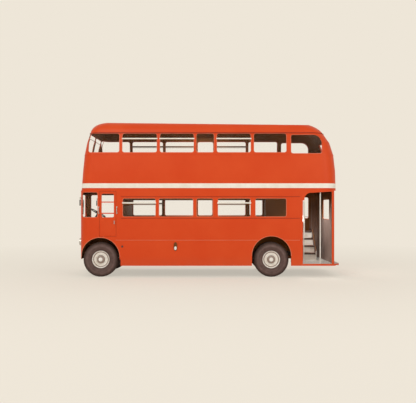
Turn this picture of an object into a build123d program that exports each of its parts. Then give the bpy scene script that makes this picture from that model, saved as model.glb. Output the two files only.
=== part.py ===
from build123d import *
import math
import os

os.makedirs("parts", exist_ok=True)

# Forward is -X, the nearside (left) is -Y, the ground is Z = 0
front_end = -3700
rear_end = 3700
body_half = 1220
wall = 45
skirt_low = 320
deck_line = 2440
saloon_front = -2480
saloon_rear = 2640
lower_rear_face = 3537

# Wheels and axles
tyre_radius = 490
hub_height = 490
bead_radius = 256
rim_radius = 244
front_axle_x = -3055
rear_axle_x = 1761
front_wheel_y = 1025
kingpin_y = 870
front_tyre_half = 105
rear_outer_y = 1065
rear_inner_y = 835
rear_tyre_half = 100
stub_radius = 36
spindle_radius = 50
run_gap = 0.05

# Wheel arches
arch_radius = 550
arch_sheet = 20
front_arch_z = 560
rear_arch_z = 600

# Chassis rails
rail_inner = 390
rail_outer = 470
rail_low = 560
rail_high = 705
spring_inner = 482.5
spring_outer = 557.5

# Floors
saloon_floor = 740
platform_top = 375
platform_low = 335
cab_floor = 910
upper_floor_top = 2500
bulkhead_thick = 35

# Glass lies between these depths under the skin
glass_outer_inset = 18
glass_inner_inset = 24
pane_thick = glass_inner_inset - glass_outer_inset
partition_pane_inset = 15
upper_corner = 70
lower_corner = 60

# Cab
cab_side = -330
cab_front = -3642
wing_foot = 500
door_front = -3071
door_rear = -2611
door_low = 1150
door_high = 2410
door_pane_low = 1674
door_pane_high = 2350
door_pane_border = 50
door_pane_corner = 50
door_gap = 6

# Bonnet and radiator
bonnet_top = 1480
bonnet_side = 395
bonnet_low = 1135
radiator_front = -3600
radiator_rear = -3512

# Cuts that pass right through the body or one wall
through_body = 1400
through_wall = 200

# Hinges: pins on the body, barrels on the moving piece
hinge_pin = 5
hinge_knuckle = 9
hinge_height = 10
hinge_half = 34
barrel_half = 20.5
leaf_thick = 6
door_hinges = [1330, 2230]
bonnet_hinges = [-3350, -2650]
exit_hinges = [-330, 330]

# Stairs
stair_rise = 212.5
stair_going = 205
stair_front = 2830
stair_rear = 3230
stair_side = 640
flight_foot = -50

# Upper deck walls: each row is one level of the body
upper_rows = [
    {"z": 2440, "front": -3625, "rear": 3636, "half": 1220, "front_corner": 280, "rear_corner": 400},
    {"z": 3000, "front": -3582, "rear": 3620, "half": 1218, "front_corner": 280, "rear_corner": 400},
    {"z": 3450, "front": -3540, "rear": 3570, "half": 1206, "front_corner": 280, "rear_corner": 400},
    {"z": 3800, "front": -3473, "rear": 3462, "half": 1184, "front_corner": 290, "rear_corner": 400},
    {"z": 4075, "front": -3392, "rear": 3280, "half": 1142, "front_corner": 300, "rear_corner": 400},
]
roof_rows = [
    {"z": 4075, "front": -3392, "rear": 3280, "half": 1142, "front_corner": 300, "rear_corner": 400},
    {"z": 4210, "front": -3345, "rear": 3155, "half": 1105, "front_corner": 320, "rear_corner": 430},
    {"z": 4320, "front": -3245, "rear": 2975, "half": 1010, "front_corner": 330, "rear_corner": 450},
    {"z": 4400, "front": -3060, "rear": 2680, "half": 820, "front_corner": 330, "rear_corner": 450},
    {"z": 4475, "front": -2800, "rear": 2300, "half": 560, "front_corner": 330, "rear_corner": 450},
]

# Windows: front, rear, low and high edges in the side view
upper_windows = [
    {"front": -3402, "rear": -2511, "low": 3499, "high": 4055},
    {"front": -2447, "rear": -1453, "low": 3499, "high": 4055},
    {"front": -1389, "rear": -413, "low": 3499, "high": 4055},
    {"front": -363, "rear": 155, "low": 3499, "high": 4055},
    {"front": 214, "rear": 1193, "low": 3499, "high": 4055},
    {"front": 1257, "rear": 2195, "low": 3499, "high": 4055},
    {"front": 2303, "rear": 3190, "low": 3470, "high": 4020, "round_rear": 250},
]
lower_windows_left = [
    {"front": -2430, "rear": -1486, "low": 1691, "high": 2224},
    {"front": -1412, "rear": -431, "low": 1691, "high": 2224},
    {"front": -355, "rear": 126, "low": 1691, "high": 2224},
    {"front": 243, "rear": 1184, "low": 1691, "high": 2224},
    {"front": 1298, "rear": 2186, "low": 1691, "high": 2224},
]
lower_windows_right = lower_windows_left[:4] + [
    {"front": 1298, "rear": 1730, "low": 1691, "high": 2224},
    {"front": 2868, "rear": 3205, "low": 1600, "high": 2290},
]
# Windows seen from the ends: their edges run across the bus
upper_front_windows = [
    {"front": -890, "rear": -40, "low": 3499, "high": 4040},
    {"front": 40, "rear": 890, "low": 3499, "high": 4040},
]
lower_rear_windows = [
    {"front": -620, "rear": 420, "low": 1600, "high": 2200},
]
front_partition_windows = [
    {"front": -1080, "rear": -430, "low": 1560, "high": 2200},
    {"front": -240, "rear": 1080, "low": 1560, "high": 2200},
]
rear_partition_windows = [
    {"front": -1080, "rear": -470, "low": 1691, "high": 2224},
]
cab_front_windows = [
    {"front": -960, "rear": -400, "low": 1640, "high": 2330},
]
cab_side_windows = [
    {"front": -3570, "rear": -3115, "low": 1674, "high": 2395},
]
cab_inner_windows = [
    {"front": -3480, "rear": -2700, "low": 1640, "high": 2330},
]


def body_form(rows, inset, ruled):
    with BuildPart() as form:
        for row in rows:
            with BuildSketch(Plane.XY.offset(row["z"])) as level:
                with Locations(((row["front"] + row["rear"]) / 2, 0)):
                    Rectangle(row["rear"] - row["front"] - 2 * inset, 2 * (row["half"] - inset))
                fillet(level.vertices().group_by(Axis.X)[0], row["front_corner"] - inset)
                fillet(level.vertices().group_by(Axis.X)[-1], row["rear_corner"] - inset)
        loft(ruled=ruled)
    return form.part


def draw_windows(rows, corner):
    for row in rows:
        with Locations(((row["front"] + row["rear"]) / 2, (row["low"] + row["high"]) / 2)):
            RectangleRounded(row["rear"] - row["front"], row["high"] - row["low"], corner)
        if "round_rear" in row:
            big = row["round_rear"]
            with Locations((row["rear"] - big / 2, row["high"] - big / 2)):
                Rectangle(big, big, mode=Mode.SUBTRACT)
            with Locations((row["rear"] - big, row["high"] - big)):
                Circle(big)


def box_between(x0, x1, y0, y1, z0, z1, mode=Mode.ADD):
    with Locations(((x0 + x1) / 2, (y0 + y1) / 2, (z0 + z1) / 2)):
        Box(abs(x1 - x0), abs(y1 - y0), abs(z1 - z0), mode=mode)


def arch_prism(centre_x, centre_z, radius, y0, y1, low):
    with BuildPart() as prism:
        with BuildSketch(Plane.XZ.offset(-y0)):
            with Locations((centre_x, centre_z)):
                Circle(radius)
            with Locations((centre_x, (low + centre_z) / 2)):
                Rectangle(2 * radius, centre_z - low)
            with Locations((centre_x, low - radius)):
                Rectangle(3 * radius, 2 * radius, mode=Mode.SUBTRACT)
        extrude(amount=-(y1 - y0))
    return prism.part


def rod(start, end, radius, mode=Mode.ADD):
    line = Vector(*end) - Vector(*start)
    with Locations(Location(Plane(origin=start, z_dir=line))):
        Cylinder(radius, line.length, align=(Align.CENTER, Align.CENTER, Align.MIN), mode=mode)


# Hinge frames: x points from the moving piece to the body, y along the pin, z outwards
def hinge_pin_and_knuckles(frames):
    with BuildPart() as fixed:
        with Locations(*[Location(frame) for frame in frames]):
            with Locations(Location((0, 0, hinge_height), (90, 0, 0))):
                Cylinder(hinge_pin, 2 * hinge_half)
            for side in (-1, 1):
                middle = side * (hinge_half + barrel_half + 0.5) / 2
                with Locations(Location((0, middle, hinge_height), (90, 0, 0))):
                    Cylinder(hinge_knuckle, hinge_half - barrel_half - 0.5)
    return fixed.part


def hinge_body_leaves(frames):
    with BuildPart() as fixed:
        with Locations(*[Location(frame) for frame in frames]):
            box_between(12, 42, -hinge_half, hinge_half, 0, leaf_thick)
            box_between(0, 12, -hinge_half, -barrel_half - 0.5, 0, leaf_thick)
            box_between(0, 12, barrel_half + 0.5, hinge_half, 0, leaf_thick)
    return fixed.part


def hinge_barrels(frames):
    with BuildPart() as moving:
        with Locations(*[Location(frame) for frame in frames]):
            box_between(-42, -12, -hinge_half, hinge_half, 0, leaf_thick)
            box_between(-12, 0, -barrel_half, barrel_half, 0, leaf_thick)
            with Locations(Location((0, 0, hinge_height), (90, 0, 0))):
                Cylinder(hinge_knuckle, 2 * barrel_half)
                Cylinder(hinge_pin + run_gap, 2 * hinge_half, mode=Mode.SUBTRACT)
    return moving.part


def save(piece, name):
    piece.part.label = name
    export_step(piece.part, "parts/" + name + ".step")
    print(name, len(piece.part.solids()), round(piece.part.volume / 1e9, 4))


# Upper deck walls
upper_outer = body_form(upper_rows, 0, True)
upper_inner = body_form(upper_rows, wall, True)
glass_outer = body_form(upper_rows, glass_outer_inset, True)
glass_inner = body_form(upper_rows, glass_inner_inset, True)

exit_half = 520
exit_low = 3300
exit_high = 3930
exit_behind = 3100

with BuildPart() as upper_ring:
    add(upper_outer)
    add(upper_inner, mode=Mode.SUBTRACT)
    with BuildSketch(Plane.XZ):
        draw_windows(upper_windows, upper_corner)
    extrude(amount=through_body, both=True, mode=Mode.SUBTRACT)
    with BuildSketch(Plane.YZ.offset(front_end)):
        draw_windows(upper_front_windows, upper_corner)
    extrude(amount=500, mode=Mode.SUBTRACT)
    box_between(exit_behind, rear_end, -exit_half, exit_half, exit_low, exit_high, Mode.SUBTRACT)

# The window's hinges lie on the sloping back between the two highest levels
slope_low = upper_rows[-2]
slope_high = upper_rows[-1]
exit_gap = 7
exit_border = 70
exit_corner = 60
hinge_z = exit_high - exit_gap / 2
slope_run = (slope_high["rear"] - slope_low["rear"]) / (slope_high["z"] - slope_low["z"])
hinge_x = slope_low["rear"] + slope_run * (hinge_z - slope_low["z"])
exit_frames = [
    Plane(origin=(hinge_x, y, hinge_z), x_dir=(slope_run, 0, 1), z_dir=(1, 0, -slope_run))
    for y in exit_hinges
]
exit_pins = hinge_pin_and_knuckles(exit_frames)
exit_leaves = hinge_body_leaves(exit_frames)
exit_barrels = hinge_barrels(exit_frames)

front_joint_x = -3415
rear_joint_x = 3205
front_split = Plane.YZ.offset(front_joint_x)
rear_split = Plane.YZ.offset(rear_joint_x)

with BuildPart() as upper_front:
    add(upper_ring.part)
    split(bisect_by=front_split, keep=Keep.BOTTOM)
save(upper_front, "upper_front")

with BuildPart() as upper_rear:
    add(upper_ring.part)
    split(bisect_by=rear_split, keep=Keep.TOP)
    add(exit_pins)
    add(exit_leaves)
save(upper_rear, "upper_rear")

with BuildPart() as upper_side_left:
    add(upper_ring.part)
    split(bisect_by=front_split, keep=Keep.TOP)
    split(bisect_by=rear_split, keep=Keep.BOTTOM)
    split(bisect_by=Plane.XZ, keep=Keep.TOP)
save(upper_side_left, "upper_side_left")

with BuildPart() as upper_side_right:
    add(upper_ring.part)
    split(bisect_by=front_split, keep=Keep.TOP)
    split(bisect_by=rear_split, keep=Keep.BOTTOM)
    split(bisect_by=Plane.XZ, keep=Keep.BOTTOM)
save(upper_side_right, "upper_side_right")

# Emergency window at the back of the upper deck, hung from its top edge
with BuildPart() as exit_opening:
    with BuildSketch(Plane.YZ.offset(exit_behind)):
        with Locations((0, (exit_low + exit_high) / 2)):
            RectangleRounded(2 * (exit_half - exit_border), exit_high - exit_low - 2 * exit_border, exit_corner)
    extrude(amount=600)

with BuildPart() as emergency_window:
    add(upper_outer)
    add(upper_inner, mode=Mode.SUBTRACT)
    box_between(
        exit_behind, rear_end, -exit_half + exit_gap, exit_half - exit_gap,
        exit_low + exit_gap, exit_high - exit_gap, Mode.INTERSECT
    )
    add(exit_opening.part, mode=Mode.SUBTRACT)
    add(exit_barrels)
save(emergency_window, "emergency_window")

with BuildPart() as emergency_glass:
    add(glass_outer)
    add(glass_inner, mode=Mode.SUBTRACT)
    add(exit_opening.part, mode=Mode.INTERSECT)
save(emergency_glass, "emergency_glass")

# Roof: a domed shell, arched across and falling a little to the rear
roof_outer = body_form(roof_rows, 0, False)
roof_inner = body_form(roof_rows, wall, True)

roof_crown = 4458
roof_fall = 0.0106
arch_half = 1400
arch_rise = 166
arch_deep = 2100


def roof_arch(drop):
    slope = Plane(origin=(-4000, 0, roof_crown - drop), x_dir=(0, 1, 0), z_dir=(1, 0, -roof_fall))
    with BuildPart() as arch:
        with BuildSketch(slope):
            with BuildLine():
                ThreePointArc((arch_half, -arch_rise), (0, 0), (-arch_half, -arch_rise))
                Polyline(
                    (-arch_half, -arch_rise), (-arch_half, -arch_deep),
                    (arch_half, -arch_deep), (arch_half, -arch_rise),
                )
            make_face()
        extrude(amount=8000)
    return arch.part


arch_outer = roof_arch(0)
arch_inner = roof_arch(wall)
with BuildPart() as roof_core:
    add(roof_inner)
    add(arch_inner, mode=Mode.INTERSECT)
with BuildPart() as roof:
    add(roof_outer)
    add(arch_outer, mode=Mode.INTERSECT)
    add(roof_core.part, mode=Mode.SUBTRACT)
save(roof, "roof")

# Floor of the upper deck, with the stairwell
well_front = stair_front - 5 * stair_going
well_inner = 560
well_outer = 1165
with BuildPart() as upper_floor:
    add(upper_inner)
    box_between(-4000, 4000, -2000, 2000, deck_line, upper_floor_top, Mode.INTERSECT)
    box_between(
        well_front, stair_rear, well_inner, well_outer, deck_line - 20, upper_floor_top + 20, Mode.SUBTRACT
    )
save(upper_floor, "upper_floor")

# Lower sides
rear_arch_left = arch_prism(rear_axle_x, rear_arch_z, arch_radius, -1300, -1100, 200)
rear_arch_right = arch_prism(rear_axle_x, rear_arch_z, arch_radius, 1100, 1300, 200)

doorway = {
    "front": 2687, "pillar_top": 2160, "corner": 2724, "corner_high": 2302,
    "bend": 2900, "bend_high": 2372, "rear": 3454, "rear_high": 2405,
}
with BuildPart() as lower_side_left:
    box_between(saloon_front, saloon_rear, -body_half, -body_half + wall, skirt_low, deck_line)
    with BuildSketch(Plane.XZ.offset(1100)):
        draw_windows(lower_windows_left, lower_corner)
    extrude(amount=through_wall, mode=Mode.SUBTRACT)
    add(rear_arch_left, mode=Mode.SUBTRACT)
    # Header over the platform doorway, rising to the rear
    with BuildSketch(Plane.XZ.offset(body_half - wall)):
        with BuildLine():
            Polyline(
                (saloon_rear, doorway["pillar_top"]), (saloon_rear, deck_line),
                (doorway["rear"], deck_line), (doorway["rear"], doorway["rear_high"]),
            )
            Line((doorway["rear"], doorway["rear_high"]), (doorway["bend"], doorway["bend_high"]))
            ThreePointArc(
                (doorway["bend"], doorway["bend_high"]),
                (doorway["corner"], doorway["corner_high"]),
                (doorway["front"], doorway["pillar_top"]),
            )
            Line((doorway["front"], doorway["pillar_top"]), (saloon_rear, doorway["pillar_top"]))
        make_face()
    extrude(amount=wall)
save(lower_side_left, "lower_side_left")

rear_corner_x = 3237
with BuildPart() as lower_side_right:
    box_between(saloon_front, rear_corner_x, body_half - wall, body_half, skirt_low, deck_line)
    with BuildSketch(Plane.XZ.offset(-1300)):
        draw_windows(lower_windows_right, lower_corner)
    extrude(amount=through_wall, mode=Mode.SUBTRACT)
    add(rear_arch_right, mode=Mode.SUBTRACT)
save(lower_side_right, "lower_side_right")

# Lower rear wall, with the round offside corner and the post at the platform's corner
corner_out = lower_rear_face - rear_corner_x
corner_in = corner_out - wall
corner_y = body_half - corner_out
post_out = 83
post_in = post_out - wall
post_y = -body_half + post_out
post_x = lower_rear_face - post_out
diagonal = math.sin(math.pi / 4)
with BuildPart() as lower_rear:
    with BuildSketch(Plane.XY.offset(platform_top)):
        with BuildLine():
            Line((rear_corner_x, body_half), (rear_corner_x, body_half - wall))
            ThreePointArc(
                (rear_corner_x, body_half - wall),
                (rear_corner_x + corner_in * diagonal, corner_y + corner_in * diagonal),
                (rear_corner_x + corner_in, corner_y),
            )
            Line((rear_corner_x + corner_in, corner_y), (rear_corner_x + corner_in, post_y))
            ThreePointArc(
                (rear_corner_x + corner_in, post_y),
                (post_x + post_in * diagonal, post_y - post_in * diagonal),
                (post_x, post_y - post_in),
            )
            Line((post_x, post_y - post_in), (post_x, -body_half))
            ThreePointArc(
                (post_x, -body_half),
                (post_x + post_out * diagonal, post_y - post_out * diagonal),
                (lower_rear_face, post_y),
            )
            Line((lower_rear_face, post_y), (lower_rear_face, corner_y))
            ThreePointArc(
                (lower_rear_face, corner_y),
                (rear_corner_x + corner_out * diagonal, corner_y + corner_out * diagonal),
                (rear_corner_x, body_half),
            )
        make_face()
    extrude(amount=deck_line - platform_top)
    with BuildSketch(Plane.YZ.offset(lower_rear_face - wall - 10)):
        draw_windows(lower_rear_windows, lower_corner)
    extrude(amount=through_wall, mode=Mode.SUBTRACT)
save(lower_rear, "lower_rear")

# Boxes over the rear wheels
cover_radius = arch_radius + arch_sheet
cover_inner = 690
inner_half = body_half - wall
cover_right = arch_prism(rear_axle_x, rear_arch_z, cover_radius, cover_inner, inner_half, rail_high)

# Partitions at both ends of the lower saloon and round the stairs
partition_x = saloon_rear - bulkhead_thick
stair_wall = 600
saloon_door_half = 330
saloon_door_high = 2330
with BuildPart() as bulkheads:
    box_between(saloon_front, saloon_front + bulkhead_thick, -inner_half, inner_half, rail_high, deck_line)
    with BuildSketch(Plane.YZ.offset(saloon_front - 50)):
        draw_windows(front_partition_windows, lower_corner)
    extrude(amount=150, mode=Mode.SUBTRACT)
    box_between(partition_x, saloon_rear, -inner_half, stair_wall, platform_top, deck_line)
    box_between(
        well_front - bulkhead_thick, partition_x, stair_wall - bulkhead_thick, stair_wall,
        saloon_floor, deck_line
    )
    box_between(well_front - bulkhead_thick, well_front, stair_wall, inner_half, saloon_floor, deck_line)
    box_between(
        partition_x - 20, saloon_rear + 20, -saloon_door_half, saloon_door_half,
        saloon_floor, saloon_door_high, Mode.SUBTRACT
    )
    with BuildSketch(Plane.YZ.offset(partition_x - 50)):
        draw_windows(rear_partition_windows, lower_corner)
    extrude(amount=150, mode=Mode.SUBTRACT)
    add(cover_right, mode=Mode.SUBTRACT)
save(bulkheads, "bulkheads")

# Lower floor with the boxes over the rear wheels
hollow_left = arch_prism(rear_axle_x, rear_arch_z, arch_radius, -1300, -cover_inner - arch_sheet, 200)
hollow_right = arch_prism(rear_axle_x, rear_arch_z, arch_radius, cover_inner + arch_sheet, 1300, 200)
with BuildPart() as lower_floor:
    box_between(saloon_front + bulkhead_thick, partition_x, -inner_half, inner_half, rail_high, saloon_floor)
    with BuildSketch(Plane.XZ.offset(-inner_half)):
        with Locations((rear_axle_x, rear_arch_z)):
            Circle(cover_radius)
        with Locations((rear_axle_x, 0)):
            Rectangle(2 * cover_radius, 2 * rail_high, mode=Mode.SUBTRACT)
    extrude(amount=inner_half - cover_inner)
    with BuildSketch(Plane.XZ.offset(cover_inner)):
        with Locations((rear_axle_x, rear_arch_z)):
            Circle(cover_radius)
        with Locations((rear_axle_x, 0)):
            Rectangle(2 * cover_radius, 2 * rail_high, mode=Mode.SUBTRACT)
    extrude(amount=inner_half - cover_inner)
    add(hollow_left, mode=Mode.SUBTRACT)
    add(hollow_right, mode=Mode.SUBTRACT)
save(lower_floor, "lower_floor")

# Rear platform: a slab with a deeper rim
platform_corner = 260
rim_thick = 35
with BuildPart() as platform:
    with BuildSketch(Plane.XY.offset(platform_low)) as outline:
        with Locations(((saloon_rear + rear_end) / 2, 0)):
            Rectangle(rear_end - saloon_rear, 2 * body_half)
        fillet(outline.vertices().group_by(Axis.X)[-1], platform_corner)
    extrude(amount=platform_top - platform_low)
    with BuildSketch(Plane.XY.offset(skirt_low)) as rim:
        with Locations(((saloon_rear + rear_end) / 2, 0)):
            Rectangle(rear_end - saloon_rear, 2 * body_half)
        fillet(rim.vertices().group_by(Axis.X)[-1], platform_corner)
        with Locations(((saloon_rear + rear_end) / 2 - rim_thick, 0)):
            Rectangle(rear_end - saloon_rear, 2 * (body_half - rim_thick), mode=Mode.SUBTRACT)
    extrude(amount=platform_low - skirt_low)
    box_between(
        saloon_rear, rear_corner_x, body_half - wall, body_half,
        skirt_low - 5, platform_top + 5, Mode.SUBTRACT
    )
save(platform, "platform")

# Staircase: a short flight across, a landing and a flight forwards
landing_top = platform_top + 4 * stair_rise
tread = 30
flight_going = 230
riser = 20
stringer = 22
stringer_over = 60
upper_flight_side = 602
with BuildPart() as staircase:
    for step in range(4):
        top = platform_top + (step + 1) * stair_rise
        foot = max(platform_top, top - stair_rise - tread)
        y0 = flight_foot + step * flight_going
        y1 = inner_half if step == 3 else y0 + flight_going
        box_between(stair_front, stair_rear, y0, y1, top - tread, top)
        box_between(stair_front, stair_rear, y0, y0 + riser, foot, top)
    for x0 in (stair_front, stair_rear - stringer):
        with BuildSketch(Plane.YZ.offset(x0)):
            with BuildLine():
                Polyline(
                    (flight_foot, platform_top),
                    (flight_foot, platform_top + stair_rise + stringer_over),
                    (stair_side, landing_top + stringer_over),
                    (inner_half, landing_top + stringer_over),
                    (inner_half, platform_top),
                    (flight_foot, platform_top),
                )
            make_face()
        extrude(amount=stringer)
    for step in range(5):
        top = landing_top + (step + 1) * stair_rise
        x1 = stair_front - step * stair_going
        box_between(x1 - stair_going, x1, upper_flight_side, inner_half, top - tread, top)
        box_between(x1 - riser, x1, upper_flight_side, inner_half, top - stair_rise - tread, top)
    box_between(
        well_front, well_front + riser, upper_flight_side, well_outer,
        upper_floor_top - stair_rise - tread, upper_floor_top
    )
    # Stringer of the upper flight beside the stair wall
    with BuildSketch(Plane.XZ.offset(-upper_flight_side)):
        with BuildLine():
            Polyline(
                (stair_front, landing_top - 120), (stair_front, landing_top + stringer_over),
                (well_front, upper_floor_top - 60), (well_front, upper_floor_top - 330),
                (stair_front, landing_top - 120),
            )
        make_face()
    extrude(amount=-stringer)
    # Opening through the side plate where the upper flight starts
    box_between(stair_front - 5, stair_front + 30, 625, 1180, landing_top, landing_top + 80, Mode.SUBTRACT)
save(staircase, "staircase")

# Handrails and poles
pole_x = 2845
pole_y = -72
guard_y = 540
guard_top = 3310
rails = [
    {"from": (3144, -1130, platform_top), "to": (3144, -1130, deck_line), "radius": 17},
    {"from": (2690, -1150, 1150), "to": (2690, -1150, 2130), "radius": 17},
    {"from": (saloon_rear, -1150, 1167), "to": (2700, -1150, 1167), "radius": 13},
    {"from": (saloon_rear, -1150, 2110), "to": (2700, -1150, 2110), "radius": 13},
    {"from": (pole_x, pole_y, platform_top), "to": (pole_x, pole_y, 1500), "radius": 16},
    {"from": (pole_x, pole_y, 1490), "to": (pole_x, 650, 2230), "radius": 14},
    {"from": (pole_x, stair_side, landing_top + stringer_over), "to": (pole_x, stair_side, 2222), "radius": 14},
    {"from": (well_front + 4, guard_y, guard_top), "to": (3240, guard_y, guard_top), "radius": 16},
    {"from": (well_front + 4, guard_y, 2920), "to": (3240, guard_y, 2920), "radius": 12},
]
with BuildPart() as handrails:
    for row in rails:
        rod(row["from"], row["to"], row["radius"])
    # Posts of the guard round the stairwell on the upper deck
    for x in (well_front + 20, 2300, 2780, 3235):
        rod((x, guard_y, upper_floor_top), (x, guard_y, guard_top + 10), 14)
save(handrails, "handrails")

# Cab
cab_round = 280
cab_corner = 70


def cab_form(inset):
    with BuildPart() as form:
        with BuildSketch(Plane.XY.offset(wing_foot)) as level:
            with Locations(((cab_front + inset + saloon_front) / 2, (-body_half + cab_side) / 2)):
                Rectangle(saloon_front - cab_front - inset, body_half + cab_side - 2 * inset)
            corners = level.vertices().group_by(Axis.X)[0].sort_by(Axis.Y)
            fillet(corners[0], cab_round - inset)
            fillet(corners[1], cab_corner - inset)
        extrude(amount=deck_line - wing_foot)
    return form.part


cab_outer = cab_form(0)
cab_inner = cab_form(wall)
cab_glass_outer = cab_form(glass_outer_inset)
cab_glass_inner = cab_form(glass_inner_inset)
sheet_radius = arch_radius + arch_sheet
arch_back = 715
arch_foot = 540
cab_boards = 30
back_sheet_top = 1120
wing_cut_left = arch_prism(front_axle_x, front_arch_z, arch_radius, -1300, -arch_back, 200)
wing_sheet_left = arch_prism(front_axle_x, front_arch_z, sheet_radius, -1190, -arch_back, arch_foot)

with BuildPart() as cab_floor_piece:
    box_between(cab_front, saloon_front, -1190, -360, cab_floor - cab_boards, cab_floor)
    add(wing_sheet_left)
    add(cab_inner, mode=Mode.INTERSECT)
    box_between(
        cab_front, saloon_front, -arch_back - arch_sheet, -700, 400, cab_floor - cab_boards, Mode.SUBTRACT
    )
    add(wing_cut_left, mode=Mode.SUBTRACT)

with BuildPart() as cab_side_wall:
    with BuildSketch(Plane.YZ.offset(front_end)):
        with Locations((-arch_back - arch_sheet / 2, (cab_floor + back_sheet_top) / 2)):
            Rectangle(arch_sheet, back_sheet_top - cab_floor)
    extrude(amount=1300)
    back_sheet = arch_prism(
        front_axle_x, front_arch_z, sheet_radius, -arch_back - arch_sheet, -arch_back, arch_foot
    )
    add(back_sheet, mode=Mode.INTERSECT)

door_frames = [
    Plane(origin=(door_front - 3, -body_half, z), x_dir=(-1, 0, 0), z_dir=(0, -1, 0)) for z in door_hinges
]
door_pins = hinge_pin_and_knuckles(door_frames)
door_leaves = hinge_body_leaves(door_frames)
door_barrels = hinge_barrels(door_frames)
bonnet_frames = [
    Plane(origin=(x, cab_side + 10, bonnet_top), x_dir=(0, -1, 0), z_dir=(0, 0, 1)) for x in bonnet_hinges
]
bonnet_pins = hinge_pin_and_knuckles(bonnet_frames)
bonnet_barrels = hinge_barrels(bonnet_frames)

with BuildPart() as cab_shell:
    add(cab_outer)
    add(cab_inner, mode=Mode.SUBTRACT)
    box_between(-3720, -3480, -rail_outer - 12, -rail_inner + 12, 450, rail_high + 12, Mode.SUBTRACT)
    box_between(-3600, saloon_front + 10, cab_side - wall - 5, cab_side + 5, 450, rail_high, Mode.SUBTRACT)
    with BuildSketch(Plane.XZ.offset(body_half - 250)):
        draw_windows(cab_side_windows, lower_corner)
        with Locations(((door_front + door_rear) / 2, (door_low + door_high) / 2)):
            Rectangle(door_rear - door_front + 2 * door_gap, door_high - door_low + 2 * door_gap)
    extrude(amount=400, mode=Mode.SUBTRACT)
    with BuildSketch(Plane.XZ.offset(-cab_side - 100)):
        draw_windows(cab_inner_windows, lower_corner)
    extrude(amount=through_wall, mode=Mode.SUBTRACT)
    with BuildSketch(Plane.YZ.offset(front_end)):
        draw_windows(cab_front_windows, lower_corner)
    extrude(amount=through_wall, mode=Mode.SUBTRACT)
    add(cab_floor_piece.part)
    add(cab_side_wall.part)
    add(wing_cut_left, mode=Mode.SUBTRACT)
    add(door_pins)
    add(door_leaves)
    add(bonnet_pins)
    for x in bonnet_hinges:
        pin_z = bonnet_top + hinge_height
        box_between(x - hinge_half, x + hinge_half, cab_side, cab_side + leaf_thick, pin_z + 12, pin_z + 45)
        for side in (-1, 1):
            x0 = x + side * (barrel_half + 0.5)
            box_between(x0, x + side * hinge_half, cab_side, cab_side + leaf_thick, pin_z, pin_z + 12)
save(cab_shell, "cab_shell")

# Cab door with its window, hung at the front edge
door_pane = {
    "front": door_front + door_pane_border, "rear": door_rear - door_pane_border,
    "low": door_pane_low, "high": door_pane_high,
}
door_rails = [1780, 2095]
handle_x = -2653
handle_low = 1490
handle_high = 1590
with BuildPart() as cab_door:
    box_between(door_front, door_rear, -body_half, -body_half + wall, door_low, door_high)
    with BuildSketch(Plane.XZ.offset(body_half - 150)):
        draw_windows([door_pane], door_pane_corner)
    extrude(amount=through_wall, mode=Mode.SUBTRACT)
    for z in door_rails:
        box_between(door_front + 30, door_rear - 30, -body_half + 4, -body_half + 17, z, z + 30)
    # Outside handle: a grip on two feet
    box_between(handle_x - 9, handle_x + 9, -body_half - 40, -body_half - 26, handle_low, handle_high)
    for z in (handle_low + 12, handle_high - 12):
        box_between(handle_x - 7, handle_x + 7, -body_half - 30, -body_half, z - 7.5, z + 7.5)
    add(door_barrels)
save(cab_door, "cab_door")

with BuildPart() as cab_door_glass:
    with BuildSketch(Plane.XZ.offset(body_half - glass_inner_inset)):
        draw_windows([door_pane], door_pane_corner)
    extrude(amount=pane_thick)
save(cab_door_glass, "cab_door_glass")

# Fixed glass of both decks and the cab
with BuildPart() as upper_panes:
    with BuildSketch(Plane.XZ):
        draw_windows(upper_windows, upper_corner)
    extrude(amount=through_body, both=True)
    with BuildSketch(Plane.YZ.offset(front_end)):
        draw_windows(upper_front_windows, upper_corner)
    extrude(amount=285)
with BuildPart() as upper_skin:
    add(glass_outer)
    add(glass_inner, mode=Mode.SUBTRACT)
    add(upper_panes.part, mode=Mode.INTERSECT)
with BuildPart() as cab_panes:
    with BuildSketch(Plane.XZ.offset(body_half - 250)):
        draw_windows(cab_side_windows, lower_corner)
    extrude(amount=400)
    with BuildSketch(Plane.YZ.offset(front_end)):
        draw_windows(cab_front_windows, lower_corner)
    extrude(amount=through_wall)
    with BuildSketch(Plane.XZ.offset(-cab_side - 100)):
        draw_windows(cab_inner_windows, lower_corner)
    extrude(amount=through_wall)
with BuildPart() as cab_skin:
    add(cab_glass_outer)
    add(cab_glass_inner, mode=Mode.SUBTRACT)
    add(cab_panes.part, mode=Mode.INTERSECT)
with BuildPart() as window_glass:
    add(upper_skin.part)
    add(cab_skin.part)
    with BuildSketch(Plane.XZ.offset(body_half - glass_inner_inset)):
        draw_windows(lower_windows_left, lower_corner)
    extrude(amount=pane_thick)
    with BuildSketch(Plane.XZ.offset(-body_half + glass_outer_inset)):
        draw_windows(lower_windows_right, lower_corner)
    extrude(amount=pane_thick)
    with BuildSketch(Plane.YZ.offset(lower_rear_face - glass_inner_inset)):
        draw_windows(lower_rear_windows, lower_corner)
    extrude(amount=pane_thick)
    with BuildSketch(Plane.YZ.offset(saloon_front + partition_pane_inset)):
        draw_windows(front_partition_windows, lower_corner)
    extrude(amount=pane_thick)
    with BuildSketch(Plane.YZ.offset(partition_x + partition_pane_inset)):
        draw_windows(rear_partition_windows, lower_corner)
    extrude(amount=pane_thick)
save(window_glass, "window_glass")

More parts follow.
